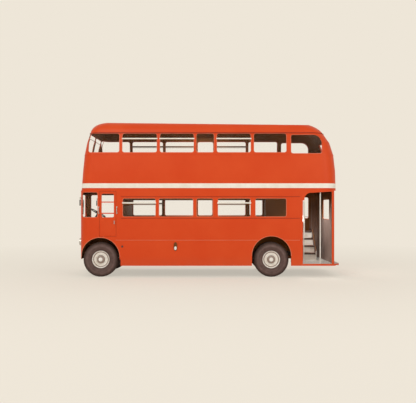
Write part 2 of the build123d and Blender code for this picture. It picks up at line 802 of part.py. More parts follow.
# Offside front wing with the apron and valance beside the engine
wing_y = 640
wing_lip = 60
lip_thick = 15
wing_foot_z = 500
valance_y = 400
valance_thick = 18
apron_x = -3650
apron_thick = 35
apron_low = 500
shelf_top = 1130
shelf_thick = 20
wing_gap = arch_prism(front_axle_x, front_arch_z, arch_radius, wing_y - 10, body_half + 10, 400)
with BuildPart() as front_wing:
    add(arch_prism(front_axle_x, front_arch_z, sheet_radius, wing_y, body_half, wing_foot_z))
    add(arch_prism(
        front_axle_x, front_arch_z, arch_radius + wing_lip, body_half - lip_thick, body_half, wing_foot_z
    ))
    add(wing_gap, mode=Mode.SUBTRACT)
    box_between(-3500, saloon_front, valance_y, wing_y + 20, shelf_top - shelf_thick, shelf_top)
    box_between(-3500, saloon_front, valance_y, valance_y + valance_thick, rail_high, shelf_top)
    box_between(saloon_front, saloon_front + 180, 300, 1300, 300, 1300, Mode.SUBTRACT)
    # Panel in front of the wheel that carries the headlamp
    with BuildSketch(Plane.YZ.offset(apron_x)) as apron:
        with Locations(((wing_y + body_half) / 2, (apron_low + shelf_top + 10) / 2)):
            Rectangle(body_half - wing_y, shelf_top + 10 - apron_low)
        fillet(apron.vertices().group_by(Axis.Y)[-1], 120)
    extrude(amount=apron_thick)
    # Web that joins the panel to the arch
    with BuildSketch(Plane.XZ.offset(-wing_y)):
        with BuildLine():
            Polyline(
                (apron_x + apron_thick, shelf_top + 10), (apron_x + apron_thick, 900),
                (-3450, 1000), (-3200, shelf_top - 5), (-3200, shelf_top + 10),
                (apron_x + apron_thick, shelf_top + 10),
            )
        make_face()
    extrude(amount=-(body_half - wing_lip - wing_y))
    add(wing_gap, mode=Mode.SUBTRACT)
save(front_wing, "front_wing")

# Radiator with an open shell and upright slats
radiator_y = 35
radiator_wide = 700
radiator_high = 1500
radiator_round = 90
opening_wide = 580
opening_low = 765
opening_high = 1375
slat_count = 13
slat_pitch = 44
with BuildPart() as radiator:
    with BuildSketch(Plane.YZ.offset(radiator_front)) as shell:
        with Locations((radiator_y, (rail_high + radiator_high) / 2)):
            Rectangle(radiator_wide, radiator_high - rail_high)
        fillet(shell.vertices().group_by(Axis.Y)[0].sort_by(Axis.Z)[-1], radiator_round)
        fillet(shell.vertices().group_by(Axis.Y)[-1].sort_by(Axis.Z)[-1], radiator_round)
        with Locations((radiator_y, (opening_low + opening_high) / 2)):
            RectangleRounded(opening_wide, opening_high - opening_low, 60, mode=Mode.SUBTRACT)
    extrude(amount=radiator_rear - radiator_front)
    for count in range(slat_count):
        y = radiator_y + (count - (slat_count - 1) / 2) * slat_pitch
        box_between(radiator_front + 8, radiator_front + 50, y - 4, y + 4, opening_low, opening_high)
    # Core behind the slats and the filler neck
    core_half = opening_wide / 2
    box_between(
        radiator_rear - 14, radiator_rear - 2, radiator_y - core_half, radiator_y + core_half,
        opening_low, opening_high
    )
    with Locations((radiator_front + 44, radiator_y, radiator_high)):
        Cylinder(38, 36, align=(Align.CENTER, Align.CENTER, Align.MIN))
save(radiator, "radiator")

# Bonnet over the engine, hung along the cab
bonnet_front = -3505
bonnet_long = 1015
bonnet_inner = cab_side + 8
bonnet_round = 90
bonnet_sheet = 18
round_y = bonnet_side - bonnet_round
round_z = bonnet_top - bonnet_round
round_in = bonnet_round - bonnet_sheet
with BuildPart() as bonnet:
    with BuildSketch(Plane.YZ.offset(bonnet_front)):
        with BuildLine():
            Line((bonnet_inner, bonnet_top), (round_y, bonnet_top))
            ThreePointArc(
                (round_y, bonnet_top),
                (round_y + bonnet_round * diagonal, round_z + bonnet_round * diagonal),
                (bonnet_side, round_z),
            )
            Polyline(
                (bonnet_side, round_z), (bonnet_side, bonnet_low), (bonnet_side - bonnet_sheet, bonnet_low),
                (bonnet_side - bonnet_sheet, round_z),
            )
            ThreePointArc(
                (bonnet_side - bonnet_sheet, round_z),
                (round_y + round_in * diagonal, round_z + round_in * diagonal),
                (round_y, bonnet_top - bonnet_sheet),
            )
            Polyline(
                (round_y, bonnet_top - bonnet_sheet), (bonnet_inner, bonnet_top - bonnet_sheet),
                (bonnet_inner, bonnet_top),
            )
        make_face()
    extrude(amount=bonnet_long)
    add(bonnet_barrels)
save(bonnet, "bonnet")

# Chassis: channel rails, cross members, body bearers, spring brackets and the platform's drop beams
cross_members = [
    {"x0": -3560, "x1": -3500}, {"x0": -1700, "x1": -1630}, {"x0": -650, "x1": -580},
    {"x0": 450, "x1": 520}, {"x0": 1180, "x1": 1250}, {"x0": 2300, "x1": 2370}, {"x0": 2530, "x1": 2600},
]
bearers = [
    {"x0": -2440, "x1": -2380}, {"x0": -1250, "x1": -1190}, {"x0": -200, "x1": -140},
    {"x0": 700, "x1": 760}, {"x0": 2440, "x1": 2500},
]
spring_half = 500
drop_low = 265
drop_front = 2530
drop_rear = 3500
rail_end = 2600
channel_wall = 12
bearer_low = 640
member_low = 575
bracket_half = 30
towing_hole = 19
with BuildPart() as chassis_frame:
    for side in (-1, 1):
        box_between(front_end, rail_end, side * rail_inner, side * rail_outer, rail_low, rail_high)
        box_between(
            front_end + 100, rail_end - 100, side * (rail_inner - 5), side * (rail_outer - channel_wall),
            rail_low + channel_wall, rail_high - channel_wall, Mode.SUBTRACT
        )
        for row in bearers:
            box_between(row["x0"], row["x1"], side * rail_outer, side * inner_half, bearer_low, rail_high)
        for axle in (front_axle_x, rear_axle_x):
            for end in (-spring_half, spring_half):
                x0 = axle + end - bracket_half
                x1 = axle + end + bracket_half
                box_between(x0, x1, side * rail_outer, side * spring_inner, bearer_low, rail_high)
        box_between(drop_front, rail_end, side * rail_inner, side * rail_outer, drop_low, rail_high)
        box_between(drop_front, drop_rear, side * rail_inner, side * rail_outer, drop_low, platform_low)
        with Locations((front_end + 45, side * (rail_inner + rail_outer) / 2, (rail_low + rail_high) / 2)):
            Cylinder(towing_hole, 2 * (rail_high - rail_low), mode=Mode.SUBTRACT)
    for row in cross_members:
        box_between(
            row["x0"], row["x1"], -rail_outer + channel_wall, rail_outer - channel_wall,
            member_low, rail_high - channel_wall
        )
    box_between(cross_members[0]["x0"], cross_members[0]["x1"], -rail_inner, rail_inner, member_low, rail_high)
save(chassis_frame, "chassis_frame")

# Springs: five leaves each, curved up to an eye at both ends
leaf = 13
leaf_count = 5
seat_z = 550
sag = 75
spring_eye = 20
spring_eye_z = 682
curve = (spring_half**2 + sag**2) / (2 * sag)
with BuildPart() as leaf_springs:
    for axle in (front_axle_x, rear_axle_x):
        for side in (-1, 1):
            base = min(side * spring_inner, side * spring_outer)
            with BuildSketch(Plane.XZ.offset(-base)):
                for count in range(leaf_count):
                    low = seat_z + count * leaf
                    reach = spring_half * (0.4 + 0.6 * count / (leaf_count - 1))
                    inner = curve + leaf_count * leaf - (count + 1) * leaf
                    outer = inner + leaf
                    centre = low + outer
                    angle = math.asin(reach / inner)
                    mid_in = centre - inner
                    mid_out = centre - outer
                    with BuildLine():
                        ThreePointArc(
                            (axle - inner * math.sin(angle), centre - inner * math.cos(angle)),
                            (axle, mid_in),
                            (axle + inner * math.sin(angle), centre - inner * math.cos(angle)),
                        )
                        Line(
                            (axle + inner * math.sin(angle), centre - inner * math.cos(angle)),
                            (axle + outer * math.sin(angle), centre - outer * math.cos(angle)),
                        )
                        ThreePointArc(
                            (axle + outer * math.sin(angle), centre - outer * math.cos(angle)),
                            (axle, mid_out),
                            (axle - outer * math.sin(angle), centre - outer * math.cos(angle)),
                        )
                        Line(
                            (axle - outer * math.sin(angle), centre - outer * math.cos(angle)),
                            (axle - inner * math.sin(angle), centre - inner * math.cos(angle)),
                        )
                    make_face()
                with Locations((axle - spring_half, spring_eye_z), (axle + spring_half, spring_eye_z)):
                    Circle(spring_eye)
            extrude(amount=-(spring_outer - spring_inner))
save(leaf_springs, "leaf_springs")

# Front axle beam with its kingpin eyes and spring seats
beam_half = 45
beam_low = 460
beam_high = 540
beam_web = 14
beam_flange = 16
beam_mid = (beam_low + beam_high) / 2
seat_half = 65
eye_radius = 46
pin_radius = 20
with BuildPart() as front_axle:
    beam_end = kingpin_y - 25
    web_end = kingpin_y - 70
    box_between(
        front_axle_x - beam_half, front_axle_x + beam_half, -beam_end, beam_end, beam_low, beam_high
    )
    for side in (-1, 1):
        box_between(
            front_axle_x + side * beam_web, front_axle_x + side * (beam_half + 5), -web_end, web_end,
            beam_low + beam_flange, beam_high - beam_flange, Mode.SUBTRACT
        )
    for side in (-1, 1):
        box_between(
            front_axle_x - seat_half, front_axle_x + seat_half, side * spring_inner, side * spring_outer,
            beam_low, seat_z
        )
        with Locations((front_axle_x, side * kingpin_y, beam_mid)):
            Cylinder(eye_radius, beam_high - beam_low)
            Cylinder(pin_radius + run_gap, 120, mode=Mode.SUBTRACT)
save(front_axle, "front_axle")


# Steering knuckles: a fork on the kingpin, a plate and the stub axle
fork_lows = [410, 546]
fork_thick = 44
plate_inner = 922
plate_outer = 945
plate_half = 60
plate_low = 410
plate_high = 590
stub_start = 940
stub_long = 150


def knuckle(side):
    with BuildPart() as piece:
        for low in fork_lows:
            box_between(
                front_axle_x - eye_radius, front_axle_x + eye_radius,
                side * (kingpin_y - 20), side * stub_start, low, low + fork_thick
            )
            with Locations((front_axle_x, side * kingpin_y, low + fork_thick / 2)):
                Cylinder(eye_radius, fork_thick)
        box_between(
            front_axle_x - plate_half, front_axle_x + plate_half,
            side * plate_inner, side * plate_outer, plate_low, plate_high
        )
        with Locations((front_axle_x, side * kingpin_y, beam_mid)):
            Cylinder(pin_radius, plate_high - plate_low)
        with BuildSketch(Plane(origin=(front_axle_x, side * stub_start, hub_height), z_dir=(0, side, 0))):
            Circle(stub_radius)
        extrude(amount=stub_long)
        # Steering arm behind the kingpin
        box_between(front_axle_x, front_axle_x + 190, side * 850, side * 885, 414, 440)
    return piece


knuckle_left = knuckle(-1)
save(knuckle_left, "knuckle_left")
knuckle_right = knuckle(1)
save(knuckle_right, "knuckle_right")


# Wheels: profiles are turned about the axle, across is measured outwards from the bus's centre
def turned(side, axle, points_list):
    plane = Plane(origin=(axle, 0, hub_height), x_dir=(1, 0, 0), z_dir=(0, 0, 1))
    with BuildPart() as piece:
        with BuildSketch(plane):
            for points in points_list:
                with BuildLine():
                    Polyline(*[(radius, side * across) for radius, across in points], close=True)
                make_face()
        revolve(axis=Axis((axle, 0, hub_height), (0, 1, 0)))
    return piece


def tyre_points(centre, half):
    return [
        (bead_radius, centre - half + 22),
        (bead_radius + 100, centre - half),
        (tyre_radius - 28, centre - half + 12),
        (tyre_radius, centre - half + 40),
        (tyre_radius, centre + half - 40),
        (tyre_radius - 28, centre + half - 12),
        (bead_radius + 100, centre + half),
        (bead_radius, centre + half - 22),
    ]


def front_rim_points():
    return [
        (stub_radius + run_gap, 948),
        (84, 948),
        (84, 1050),
        (rim_radius, 1050),
        (rim_radius, 948),
        (bead_radius, 943),
        (bead_radius, 1103),
        (rim_radius - 2, 1103),
        (rim_radius - 16, 1064),
        (182, 1076),
        (112, 1072),
        (104, 1120),
        (60, 1144),
        (0, 1150),
        (0, 1093),
        (stub_radius + run_gap, 1093),
    ]


def rear_rim_points():
    return [
        (spindle_radius + run_gap, 728),
        (110, 728),
        (110, 940),
        (rim_radius, 940),
        (rim_radius, 765),
        (bead_radius, 760),
        (bead_radius, 1140),
        (rim_radius - 2, 1140),
        (rim_radius - 16, 1094),
        (182, 1106),
        (112, 1102),
        (104, 1132),
        (60, 1150),
        (0, 1155),
        (0, 1064),
        (spindle_radius + run_gap, 1064),
    ]


for name, side in (("left", -1), ("right", 1)):
    save(turned(side, front_axle_x, [tyre_points(front_wheel_y, front_tyre_half)]), "front_tyre_" + name)
    save(turned(side, front_axle_x, [front_rim_points()]), "front_rim_" + name)
    save(
        turned(
            side, rear_axle_x,
            [tyre_points(rear_outer_y, rear_tyre_half), tyre_points(rear_inner_y, rear_tyre_half)],
        ),
        "rear_tyres_" + name,
    )
    save(turned(side, rear_axle_x, [rear_rim_points()]), "rear_rims_" + name)

# Rear axle with its casing and spring seats
casing_radius = 55
casing_half = 722
spindle_half = 1060
bulb_radius = 150
nose_radius = 75
nose_long = 260
rear_seat_low = 440
with BuildPart() as rear_axle:
    rod((rear_axle_x, -casing_half, hub_height), (rear_axle_x, casing_half, hub_height), casing_radius)
    rod((rear_axle_x, -spindle_half, hub_height), (rear_axle_x, spindle_half, hub_height), spindle_radius)
    with Locations((rear_axle_x, 0, hub_height)):
        Sphere(bulb_radius)
    rod((rear_axle_x - nose_long, 0, hub_height), (rear_axle_x, 0, hub_height), nose_radius)
    for side in (-1, 1):
        box_between(
            rear_axle_x - seat_half, rear_axle_x + seat_half, side * spring_inner, side * spring_outer,
            rear_seat_low, seat_z
        )
save(rear_axle, "rear_axle")

# Engine as a plain block with the gearbox, shaft and exhaust
pipe_y = 300
pipe_z = 480
engine_blocks = [
    {"part": "cylinder block", "x": (-3440, -2640), "y": (-210, 270), "z": (590, 1250)},
    {"part": "rocker cover", "x": (-3380, -2700), "y": (-120, 190), "z": (1250, 1360)},
    {"part": "gearbox", "x": (-2560, -1950), "y": (-150, 150), "z": (400, 690)},
    {"part": "manifold", "x": (-3300, -2760), "y": (270, 330), "z": (1000, 1080)},
]
engine_tubes = [
    {"part": "flywheel housing", "from": (-2640, 0, 560), "to": (saloon_front, 0, 560), "radius": 190},
    {
        "part": "propeller shaft", "from": (-1950, 0, hub_height),
        "to": (rear_axle_x - nose_long, 0, hub_height), "radius": 42,
    },
    {"part": "downpipe", "from": (-2800, pipe_y, 1040), "to": (-2800, pipe_y, 470), "radius": 32},
    {"part": "front pipe", "from": (-2800, pipe_y, pipe_z), "to": (-1500, pipe_y, pipe_z), "radius": 32},
    {"part": "silencer", "from": (-1500, pipe_y, pipe_z), "to": (-800, pipe_y, pipe_z), "radius": 80},
    {"part": "rear pipe", "from": (-800, pipe_y, pipe_z), "to": (900, pipe_y, pipe_z), "radius": 30},
    {"part": "outlet", "from": (880, pipe_y, pipe_z), "to": (880, 1120, pipe_z), "radius": 30},
]
with BuildPart() as power_unit:
    for row in engine_blocks:
        box_between(*row["x"], *row["y"], *row["z"])
    for row in engine_tubes:
        rod(row["from"], row["to"], row["radius"])
save(power_unit, "power_unit")

# Fuel tank on the offside and battery box on the nearside, on brackets from the rails
tank_corner = 70
tank_long = 900
bracket_low = 520
bracket_high = 600
bracket_reach = 600
tank_brackets = [
    {"x": -560, "side": 1}, {"x": 0, "side": 1}, {"x": -1850, "side": -1}, {"x": -1420, "side": -1},
]
with BuildPart() as side_tanks:
    with BuildSketch(Plane.YZ.offset(-700)) as tank:
        with Locations((810, 490)):
            Rectangle(520, 280)
        fillet(tank.vertices(), tank_corner)
    extrude(amount=tank_long)
    box_between(-1950, -1250, -1080, -560, 360, 625)
    for row in tank_brackets:
        x, side = row["x"], row["side"]
        box_between(x, x + 60, side * rail_outer, side * bracket_reach, bracket_low, bracket_high)
save(side_tanks, "side_tanks")

# Seats: a double seat is a cushion, a back and two feet
seat_width = 830
cushion_deep = 400
cushion_thick = 100
back_thick = 70
foot_x = 190
foot_thick = 40
foot_wide = 30


def double_seat(x, side, outer, inner_foot, outer_foot, floor, seat_low, back_high):
    y0, y1 = side * (outer - seat_width), side * outer
    box_between(x, x + cushion_deep, y0, y1, seat_low, seat_low + cushion_thick)
    box_between(x + cushion_deep, x + cushion_deep + back_thick, y0, y1, seat_low, back_high)
    for foot in (inner_foot, outer_foot):
        box_between(
            x + foot_x, x + foot_x + foot_thick, side * foot, side * (foot + foot_wide), floor, seat_low
        )


# Seats of the lower deck, benches over the wheels and the driver's seat
lower_rows = [-2050, -1330, -610, 110, 830]
bench_front = 1330
bench_low = 1170
bench_top = 1260
bench_back = 1100
bench_high = 1640
benches = [
    {"rear": partition_x - 10, "side": -1, "inner": 760}, {"rear": well_front - 40, "side": 1, "inner": 760},
]
driver_front = -3020
driver_rear = -2620
driver_inner = -390
driver_outer = -830
driver_low = 1250
with BuildPart() as lower_seats:
    for x in lower_rows:
        for side in (-1, 1):
            double_seat(x, side, 1170, 420, 1080, saloon_floor, 1060, 1640)
    for row in benches:
        side = row["side"]
        box_between(
            bench_front, row["rear"], side * row["inner"], side * inner_half, bench_low, bench_top
        )
        box_between(
            bench_front, row["rear"], side * bench_back, side * inner_half, bench_top, bench_high
        )
    box_between(driver_front, driver_rear, driver_outer, driver_inner, driver_low, driver_low + 90)
    box_between(driver_rear, driver_rear + 80, driver_outer, driver_inner, driver_low, driver_low + 405)
    box_between(driver_front + 120, driver_rear - 80, -700, -520, cab_floor, driver_low)
save(lower_seats, "lower_seats")

# Seats of the upper deck
upper_seat_rows = [
    {"side": -1, "places": [-3080, -2360, -1640, -920, -200, 520, 1240, 1960]},
    {"side": 1, "places": [-3080, -2360, -1640, -920, -200, 520, 1160]},
]
with BuildPart() as upper_seats:
    for row in upper_seat_rows:
        for x in row["places"]:
            double_seat(x, row["side"], 1160, 420, 1070, upper_floor_top, 2820, 3440)
save(upper_seats, "upper_seats")

# Steering column and wheel, leaning back to the driver
wheel_centre = Vector(-3215, -640, 1800)
lean = math.radians(30)
column_dir = Vector(math.sin(lean), 0, math.cos(lean))
column_foot = wheel_centre - column_dir * 600
column_radius = 24
wheel_spindle = 14
bracket_y = -640
column_brackets = [
    {"front": -3597, "rear": -3460, "half": 60, "low": 1180, "high": 1330},
    {"front": -3597, "rear": -3580, "half": 80, "low": 1160, "high": 1350},
]
with BuildPart() as steering_column:
    rod(tuple(column_foot), tuple(wheel_centre - column_dir * 34), column_radius)
    rod(tuple(wheel_centre - column_dir * 60), tuple(wheel_centre + column_dir * 16), wheel_spindle)
    for row in column_brackets:
        box_between(
            row["front"], row["rear"], bracket_y - row["half"], bracket_y + row["half"],
            row["low"], row["high"]
        )
save(steering_column, "steering_column")

wheel_radius = 250
wheel_inner = 222
wheel_thick = 26
wheel_hub = 42
spoke_count = 4
spoke_long = 228
wheel_plane = Plane(origin=tuple(wheel_centre), x_dir=(0, 1, 0), z_dir=tuple(column_dir))
with BuildPart() as flat_wheel:
    Cylinder(wheel_radius, wheel_thick)
    Cylinder(wheel_inner, wheel_thick, mode=Mode.SUBTRACT)
    chamfer(flat_wheel.edges().filter_by(GeomType.CIRCLE), 8)
    Cylinder(wheel_hub, wheel_hub)
    for turn in range(spoke_count):
        with Locations(Location((0, 0, 0), (0, 0, 45 + 360 * turn / spoke_count))):
            Box(spoke_long, 20, 10, align=(Align.MIN, Align.CENTER, Align.CENTER))
    Cylinder(wheel_spindle + run_gap, 60, mode=Mode.SUBTRACT)
with BuildPart() as steering_wheel:
    with Locations(Location(wheel_plane)):
        add(flat_wheel.part)
save(steering_wheel, "steering_wheel")

# Lamps: headlamps, side lamps and rear lamps
headlamp_front = -3694
headlamp_z = 978
headlamp_radius = 105
headlamps = [{"y": -860, "rear": cab_front}, {"y": 900, "rear": apron_x}]
rear_lamp = {"y": 980, "z": 1150, "radius": 45, "thick": 22}
side_lamp = {"front": -995, "rear": -880, "low": 737, "high": 987, "proud": 26}
with BuildPart() as lamps:
    for row in headlamps:
        rod((headlamp_front, row["y"], headlamp_z), (row["rear"], row["y"], headlamp_z), headlamp_radius)
    for side in (-1, 1):
        y = side * rear_lamp["y"]
        rod(
            (lower_rear_face, y, rear_lamp["z"]), (lower_rear_face + rear_lamp["thick"], y, rear_lamp["z"]),
            rear_lamp["radius"]
        )
        box_between(
            side_lamp["front"], side_lamp["rear"], side * body_half, side * (body_half + side_lamp["proud"]),
            side_lamp["low"], side_lamp["high"]
        )
save(lamps, "lamps")

# Mirrors on arms at both front corners
mirror_x = -3600
mirror_y = 1290
mirror_z = 2230
mirror_low = 2010
mirror_high = 2170
mirror_angle = math.radians(24)
arm_radius = 12
cross_radius = 9
post = Vector(-3440, 1180, mirror_z)
arm_out = Vector(-math.cos(mirror_angle), -math.sin(mirror_angle), 0)
arm_foot = Vector(cab_front + cab_round, -body_half + cab_round, mirror_z) + arm_out * (cab_round + 0.1)
arm_elbow = arm_foot + arm_out * 36
with BuildPart() as mirrors:
    rod(tuple(arm_foot), tuple(arm_elbow), arm_radius)
    rod(tuple(arm_elbow - arm_out * 8), (mirror_x, -mirror_y, mirror_z), cross_radius)
    rod((post.X, post.Y, deck_line), (post.X, post.Y, mirror_z - 20), arm_radius + 1)
    rod(tuple(post), (mirror_x, mirror_y, mirror_z), cross_radius)
    for side in (-1, 1):
        rod((mirror_x, side * mirror_y, mirror_z - 150), (mirror_x, side * mirror_y, mirror_z + 20), arm_radius)
        box_between(
            mirror_x - 15, mirror_x + 15, side * (mirror_y - 55), side * (mirror_y + 20),
            mirror_low, mirror_high
        )
save(mirrors, "mirrors")
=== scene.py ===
import math

import bmesh
import bpy
from mathutils import Matrix, Vector


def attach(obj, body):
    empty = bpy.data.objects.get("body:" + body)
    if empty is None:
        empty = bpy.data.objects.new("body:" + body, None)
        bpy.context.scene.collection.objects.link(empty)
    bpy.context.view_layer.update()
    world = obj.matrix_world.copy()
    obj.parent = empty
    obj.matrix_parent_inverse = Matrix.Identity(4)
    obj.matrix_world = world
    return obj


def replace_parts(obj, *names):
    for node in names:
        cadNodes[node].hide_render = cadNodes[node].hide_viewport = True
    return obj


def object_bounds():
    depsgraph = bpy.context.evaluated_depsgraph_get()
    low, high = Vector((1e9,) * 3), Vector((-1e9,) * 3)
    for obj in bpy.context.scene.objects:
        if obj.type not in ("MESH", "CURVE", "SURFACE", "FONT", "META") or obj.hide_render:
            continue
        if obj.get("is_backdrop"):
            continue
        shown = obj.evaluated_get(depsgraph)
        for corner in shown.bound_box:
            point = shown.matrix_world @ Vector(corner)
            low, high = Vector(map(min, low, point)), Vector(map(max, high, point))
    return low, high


# Lengths are in metres. Forward is -X, the nearside is -Y and the ground is Z = 0.
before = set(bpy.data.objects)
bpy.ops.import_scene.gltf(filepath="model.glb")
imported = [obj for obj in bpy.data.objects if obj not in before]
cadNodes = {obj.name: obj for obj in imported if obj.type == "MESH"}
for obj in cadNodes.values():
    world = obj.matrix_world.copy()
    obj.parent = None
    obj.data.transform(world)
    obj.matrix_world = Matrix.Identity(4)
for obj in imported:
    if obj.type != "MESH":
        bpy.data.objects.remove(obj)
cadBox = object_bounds()
scene = bpy.context.scene
print("frame loaded with", len(cadNodes), "nodes")


def fromScreen(red, green, blue):
    channels = []
    for value in (red, green, blue):
        share = value / 255
        channels.append(share / 12.92 if share <= 0.04045 else ((share + 0.055) / 1.055) ** 2.4)
    return (*channels, 1.0)


# Helpers for node trees

def addNode(tree, kind, **settings):
    node = tree.nodes.new(kind)
    for key, value in settings.items():
        setattr(node, key, value)
    return node


def feed(tree, socket, source):
    # A source is another node's output or a plain value
    if isinstance(source, bpy.types.NodeSocket):
        tree.links.new(source, socket)
    else:
        socket.default_value = source


def setSockets(tree, node, **sources):
    # An underscore stands for a space in a socket's name
    for label, source in sources.items():
        feed(tree, node.inputs[label.replace("_", " ")], source)


def mixColors(tree, share, first, second, blendType="MIX"):
    mix = addNode(tree, "ShaderNodeMix", data_type="RGBA", blend_type=blendType)
    feed(tree, mix.inputs["Factor"], share)
    feed(tree, mix.inputs[6], first)  # the colour sockets come after the value and vector ones
    feed(tree, mix.inputs[7], second)
    return mix.outputs[2]


def mapRange(tree, value, low, high, toLow, toHigh):
    node = addNode(tree, "ShaderNodeMapRange")
    setSockets(tree, node, Value=value, From_Min=low, From_Max=high, To_Min=toLow, To_Max=toHigh)
    return node.outputs["Result"]


def mathOf(tree, operation, *sources):
    node = addNode(tree, "ShaderNodeMath", operation=operation)
    for socket, source in zip(node.inputs, sources):
        feed(tree, socket, source)
    return node.outputs[0]


def objectPlace(tree):
    return addNode(tree, "ShaderNodeTexCoord").outputs["Object"]


def splitPlace(tree, vector):
    split = addNode(tree, "ShaderNodeSeparateXYZ")
    feed(tree, split.inputs["Vector"], vector)
    return split.outputs


def lengthOf(tree, vector):
    node = addNode(tree, "ShaderNodeVectorMath", operation="LENGTH")
    feed(tree, node.inputs[0], vector)
    return node.outputs["Value"]


def noiseAt(tree, vector, scale, detail=3.0):
    node = addNode(tree, "ShaderNodeTexNoise")
    setSockets(tree, node, Vector=vector, Scale=scale, Detail=detail, Roughness=0.55)
    return node.outputs["Fac"]


# Shared effects

grey = (0.5, 0.5, 0.5, 1.0)
noiseSpan = (0.3, 0.7)  # most values of a noise texture lie in it
patchSpan = (0.35, 0.68)


def newGroup(name, inputs, outputs):
    tree = bpy.data.node_groups.new(name, "ShaderNodeTree")
    for label, value in inputs.items():
        kind = "NodeSocketColor" if isinstance(value, tuple) else "NodeSocketFloat"
        tree.interface.new_socket(label, in_out="INPUT", socket_type=kind).default_value = value
    for label in outputs:
        kind = "NodeSocketColor" if label == "Color" else "NodeSocketFloat"
        tree.interface.new_socket(label, in_out="OUTPUT", socket_type=kind)
    return tree, tree.nodes.new("NodeGroupInput").outputs, tree.nodes.new("NodeGroupOutput")


def mottleGroup():
    tree, given, end = newGroup(
        "paintMottle",
        {
            "Base": grey, "Second": grey, "Patch Scale": 1.5, "Grain Scale": 60.0, "Rough Low": 0.3,
            "Rough High": 0.5,
        },
        ["Color", "Roughness", "Height"],
    )
    place = objectPlace(tree)
    grain = noiseAt(tree, place, given["Grain Scale"], 2.0)
    share = mapRange(tree, noiseAt(tree, place, given["Patch Scale"]), *patchSpan, 0.0, 1.0)
    setSockets(
        tree, end, Color=mixColors(tree, share, given["Base"], given["Second"]), Height=grain,
        Roughness=mapRange(tree, grain, *noiseSpan, given["Rough Low"], given["Rough High"]),
    )
    return tree


def dustGroup():
    tree, given, end = newGroup(
        "roadDust", {"Base": grey, "Dust": (0.3, 0.25, 0.2, 1.0), "Top": 0.9, "Amount": 0.35}, ["Color"],
    )
    place = objectPlace(tree)
    low = mapRange(tree, splitPlace(tree, place)["Z"], 0.2, given["Top"], given["Amount"], 0.0)
    cloud = mapRange(tree, noiseAt(tree, place, 4.0, 5.0), *noiseSpan, 0.4, 1.0)
    mask = mathOf(tree, "MULTIPLY", low, cloud)
    setSockets(tree, end, Color=mixColors(tree, mask, given["Base"], given["Dust"]))
    return tree


def radialGroup():
    tree, given, end = newGroup("axleDistance", {"Axle X": 0.0, "Axle Z": 0.49}, ["Radius"])
    place = splitPlace(tree, objectPlace(tree))
    flat = addNode(tree, "ShaderNodeCombineXYZ")
    setSockets(
        tree, flat, X=mathOf(tree, "SUBTRACT", place["X"], given["Axle X"]),
        Y=mathOf(tree, "SUBTRACT", place["Z"], given["Axle Z"]),
    )
    setSockets(tree, end, Radius=lengthOf(tree, flat.outputs["Vector"]))
    return tree


def bandGroup():
    tree, given, end = newGroup(
        "lineBands",
        {"First": grey, "Second": (0.2, 0.2, 0.2, 1.0), "Turn": 0.0, "Pitch": 0.05, "Line Share": 0.2},
        ["Color", "Mask"],
    )
    turned = addNode(tree, "ShaderNodeVectorRotate", rotation_type="Z_AXIS")
    setSockets(tree, turned, Vector=objectPlace(tree), Angle=given["Turn"])
    steps = mathOf(tree, "DIVIDE", splitPlace(tree, turned.outputs["Vector"])["X"], given["Pitch"])
    line = mathOf(tree, "LESS_THAN", mathOf(tree, "FRACT", steps), given["Line Share"])
    setSockets(tree, end, Color=mixColors(tree, line, given["First"], given["Second"]), Mask=line)
    return tree


def weaveGroup():
    tree, given, end = newGroup(
        "clothWeave", {"Ground": (0.1, 0.05, 0.03, 1.0), "Thread": (0.25, 0.1, 0.05, 1.0), "Size": 120.0},
        ["Color", "Height"],
    )
    place = objectPlace(tree)
    waves = []
    for direction in ("X", "Y", "Z"):
        wave = addNode(tree, "ShaderNodeTexWave", bands_direction=direction)
        setSockets(tree, wave, Vector=place, Scale=given["Size"], Distortion=0.4)
        waves.append(wave.outputs["Fac"])
    crossed = mathOf(tree, "ADD", mathOf(tree, "MULTIPLY", waves[0], waves[1]), waves[2])
    share = mapRange(tree, crossed, 0.2, 1.6, 0.0, 1.0)
    setSockets(tree, end, Color=mixColors(tree, share, given["Ground"], given["Thread"]), Height=share)
    return tree


effects = {
    "mottle": mottleGroup(), "dust": dustGroup(), "radial": radialGroup(), "bands": bandGroup(),
    "weave": weaveGroup(),
}


def useEffect(tree, name, **sources):
    node = addNode(tree, "ShaderNodeGroup", node_tree=effects[name])
    setSockets(tree, node, **sources)
    return node.outputs


# Finishes

def startMaterial(name, **shaderValues):
    material = bpy.data.materials.new(name)
    material.use_nodes = True
    tree = material.node_tree
    shader = tree.nodes["Principled BSDF"]
    setSockets(tree, shader, **shaderValues)
    return material, tree, shader


def addBump(tree, shader, height, strength, distance):
    bump = addNode(tree, "ShaderNodeBump")
    setSockets(tree, bump, Strength=strength, Distance=distance, Height=height)
    setSockets(tree, shader, Normal=bump.outputs["Normal"])


def paintedFinish(name, base, second, rough, patch=3.0, grain=90.0, bump=0.02, dust=None, **shaderValues):
    material, tree, shader = startMaterial(name, **shaderValues)
    paint = useEffect(
        tree, "mottle", Base=fromScreen(*base), Second=fromScreen(*second), Patch_Scale=patch,
        Grain_Scale=grain, Rough_Low=rough[0], Rough_High=rough[1],
    )
    color = paint["Color"]
    if dust:
        color = useEffect(
            tree, "dust", Base=color, Dust=fromScreen(*dust["color"]), Top=dust["top"], Amount=dust["amount"],
        )["Color"]
    setSockets(tree, shader, Base_Color=color, Roughness=paint["Roughness"])
    addBump(tree, shader, paint["Height"], bump, 0.002)
    material.diffuse_color = fromScreen(*base)
    return material


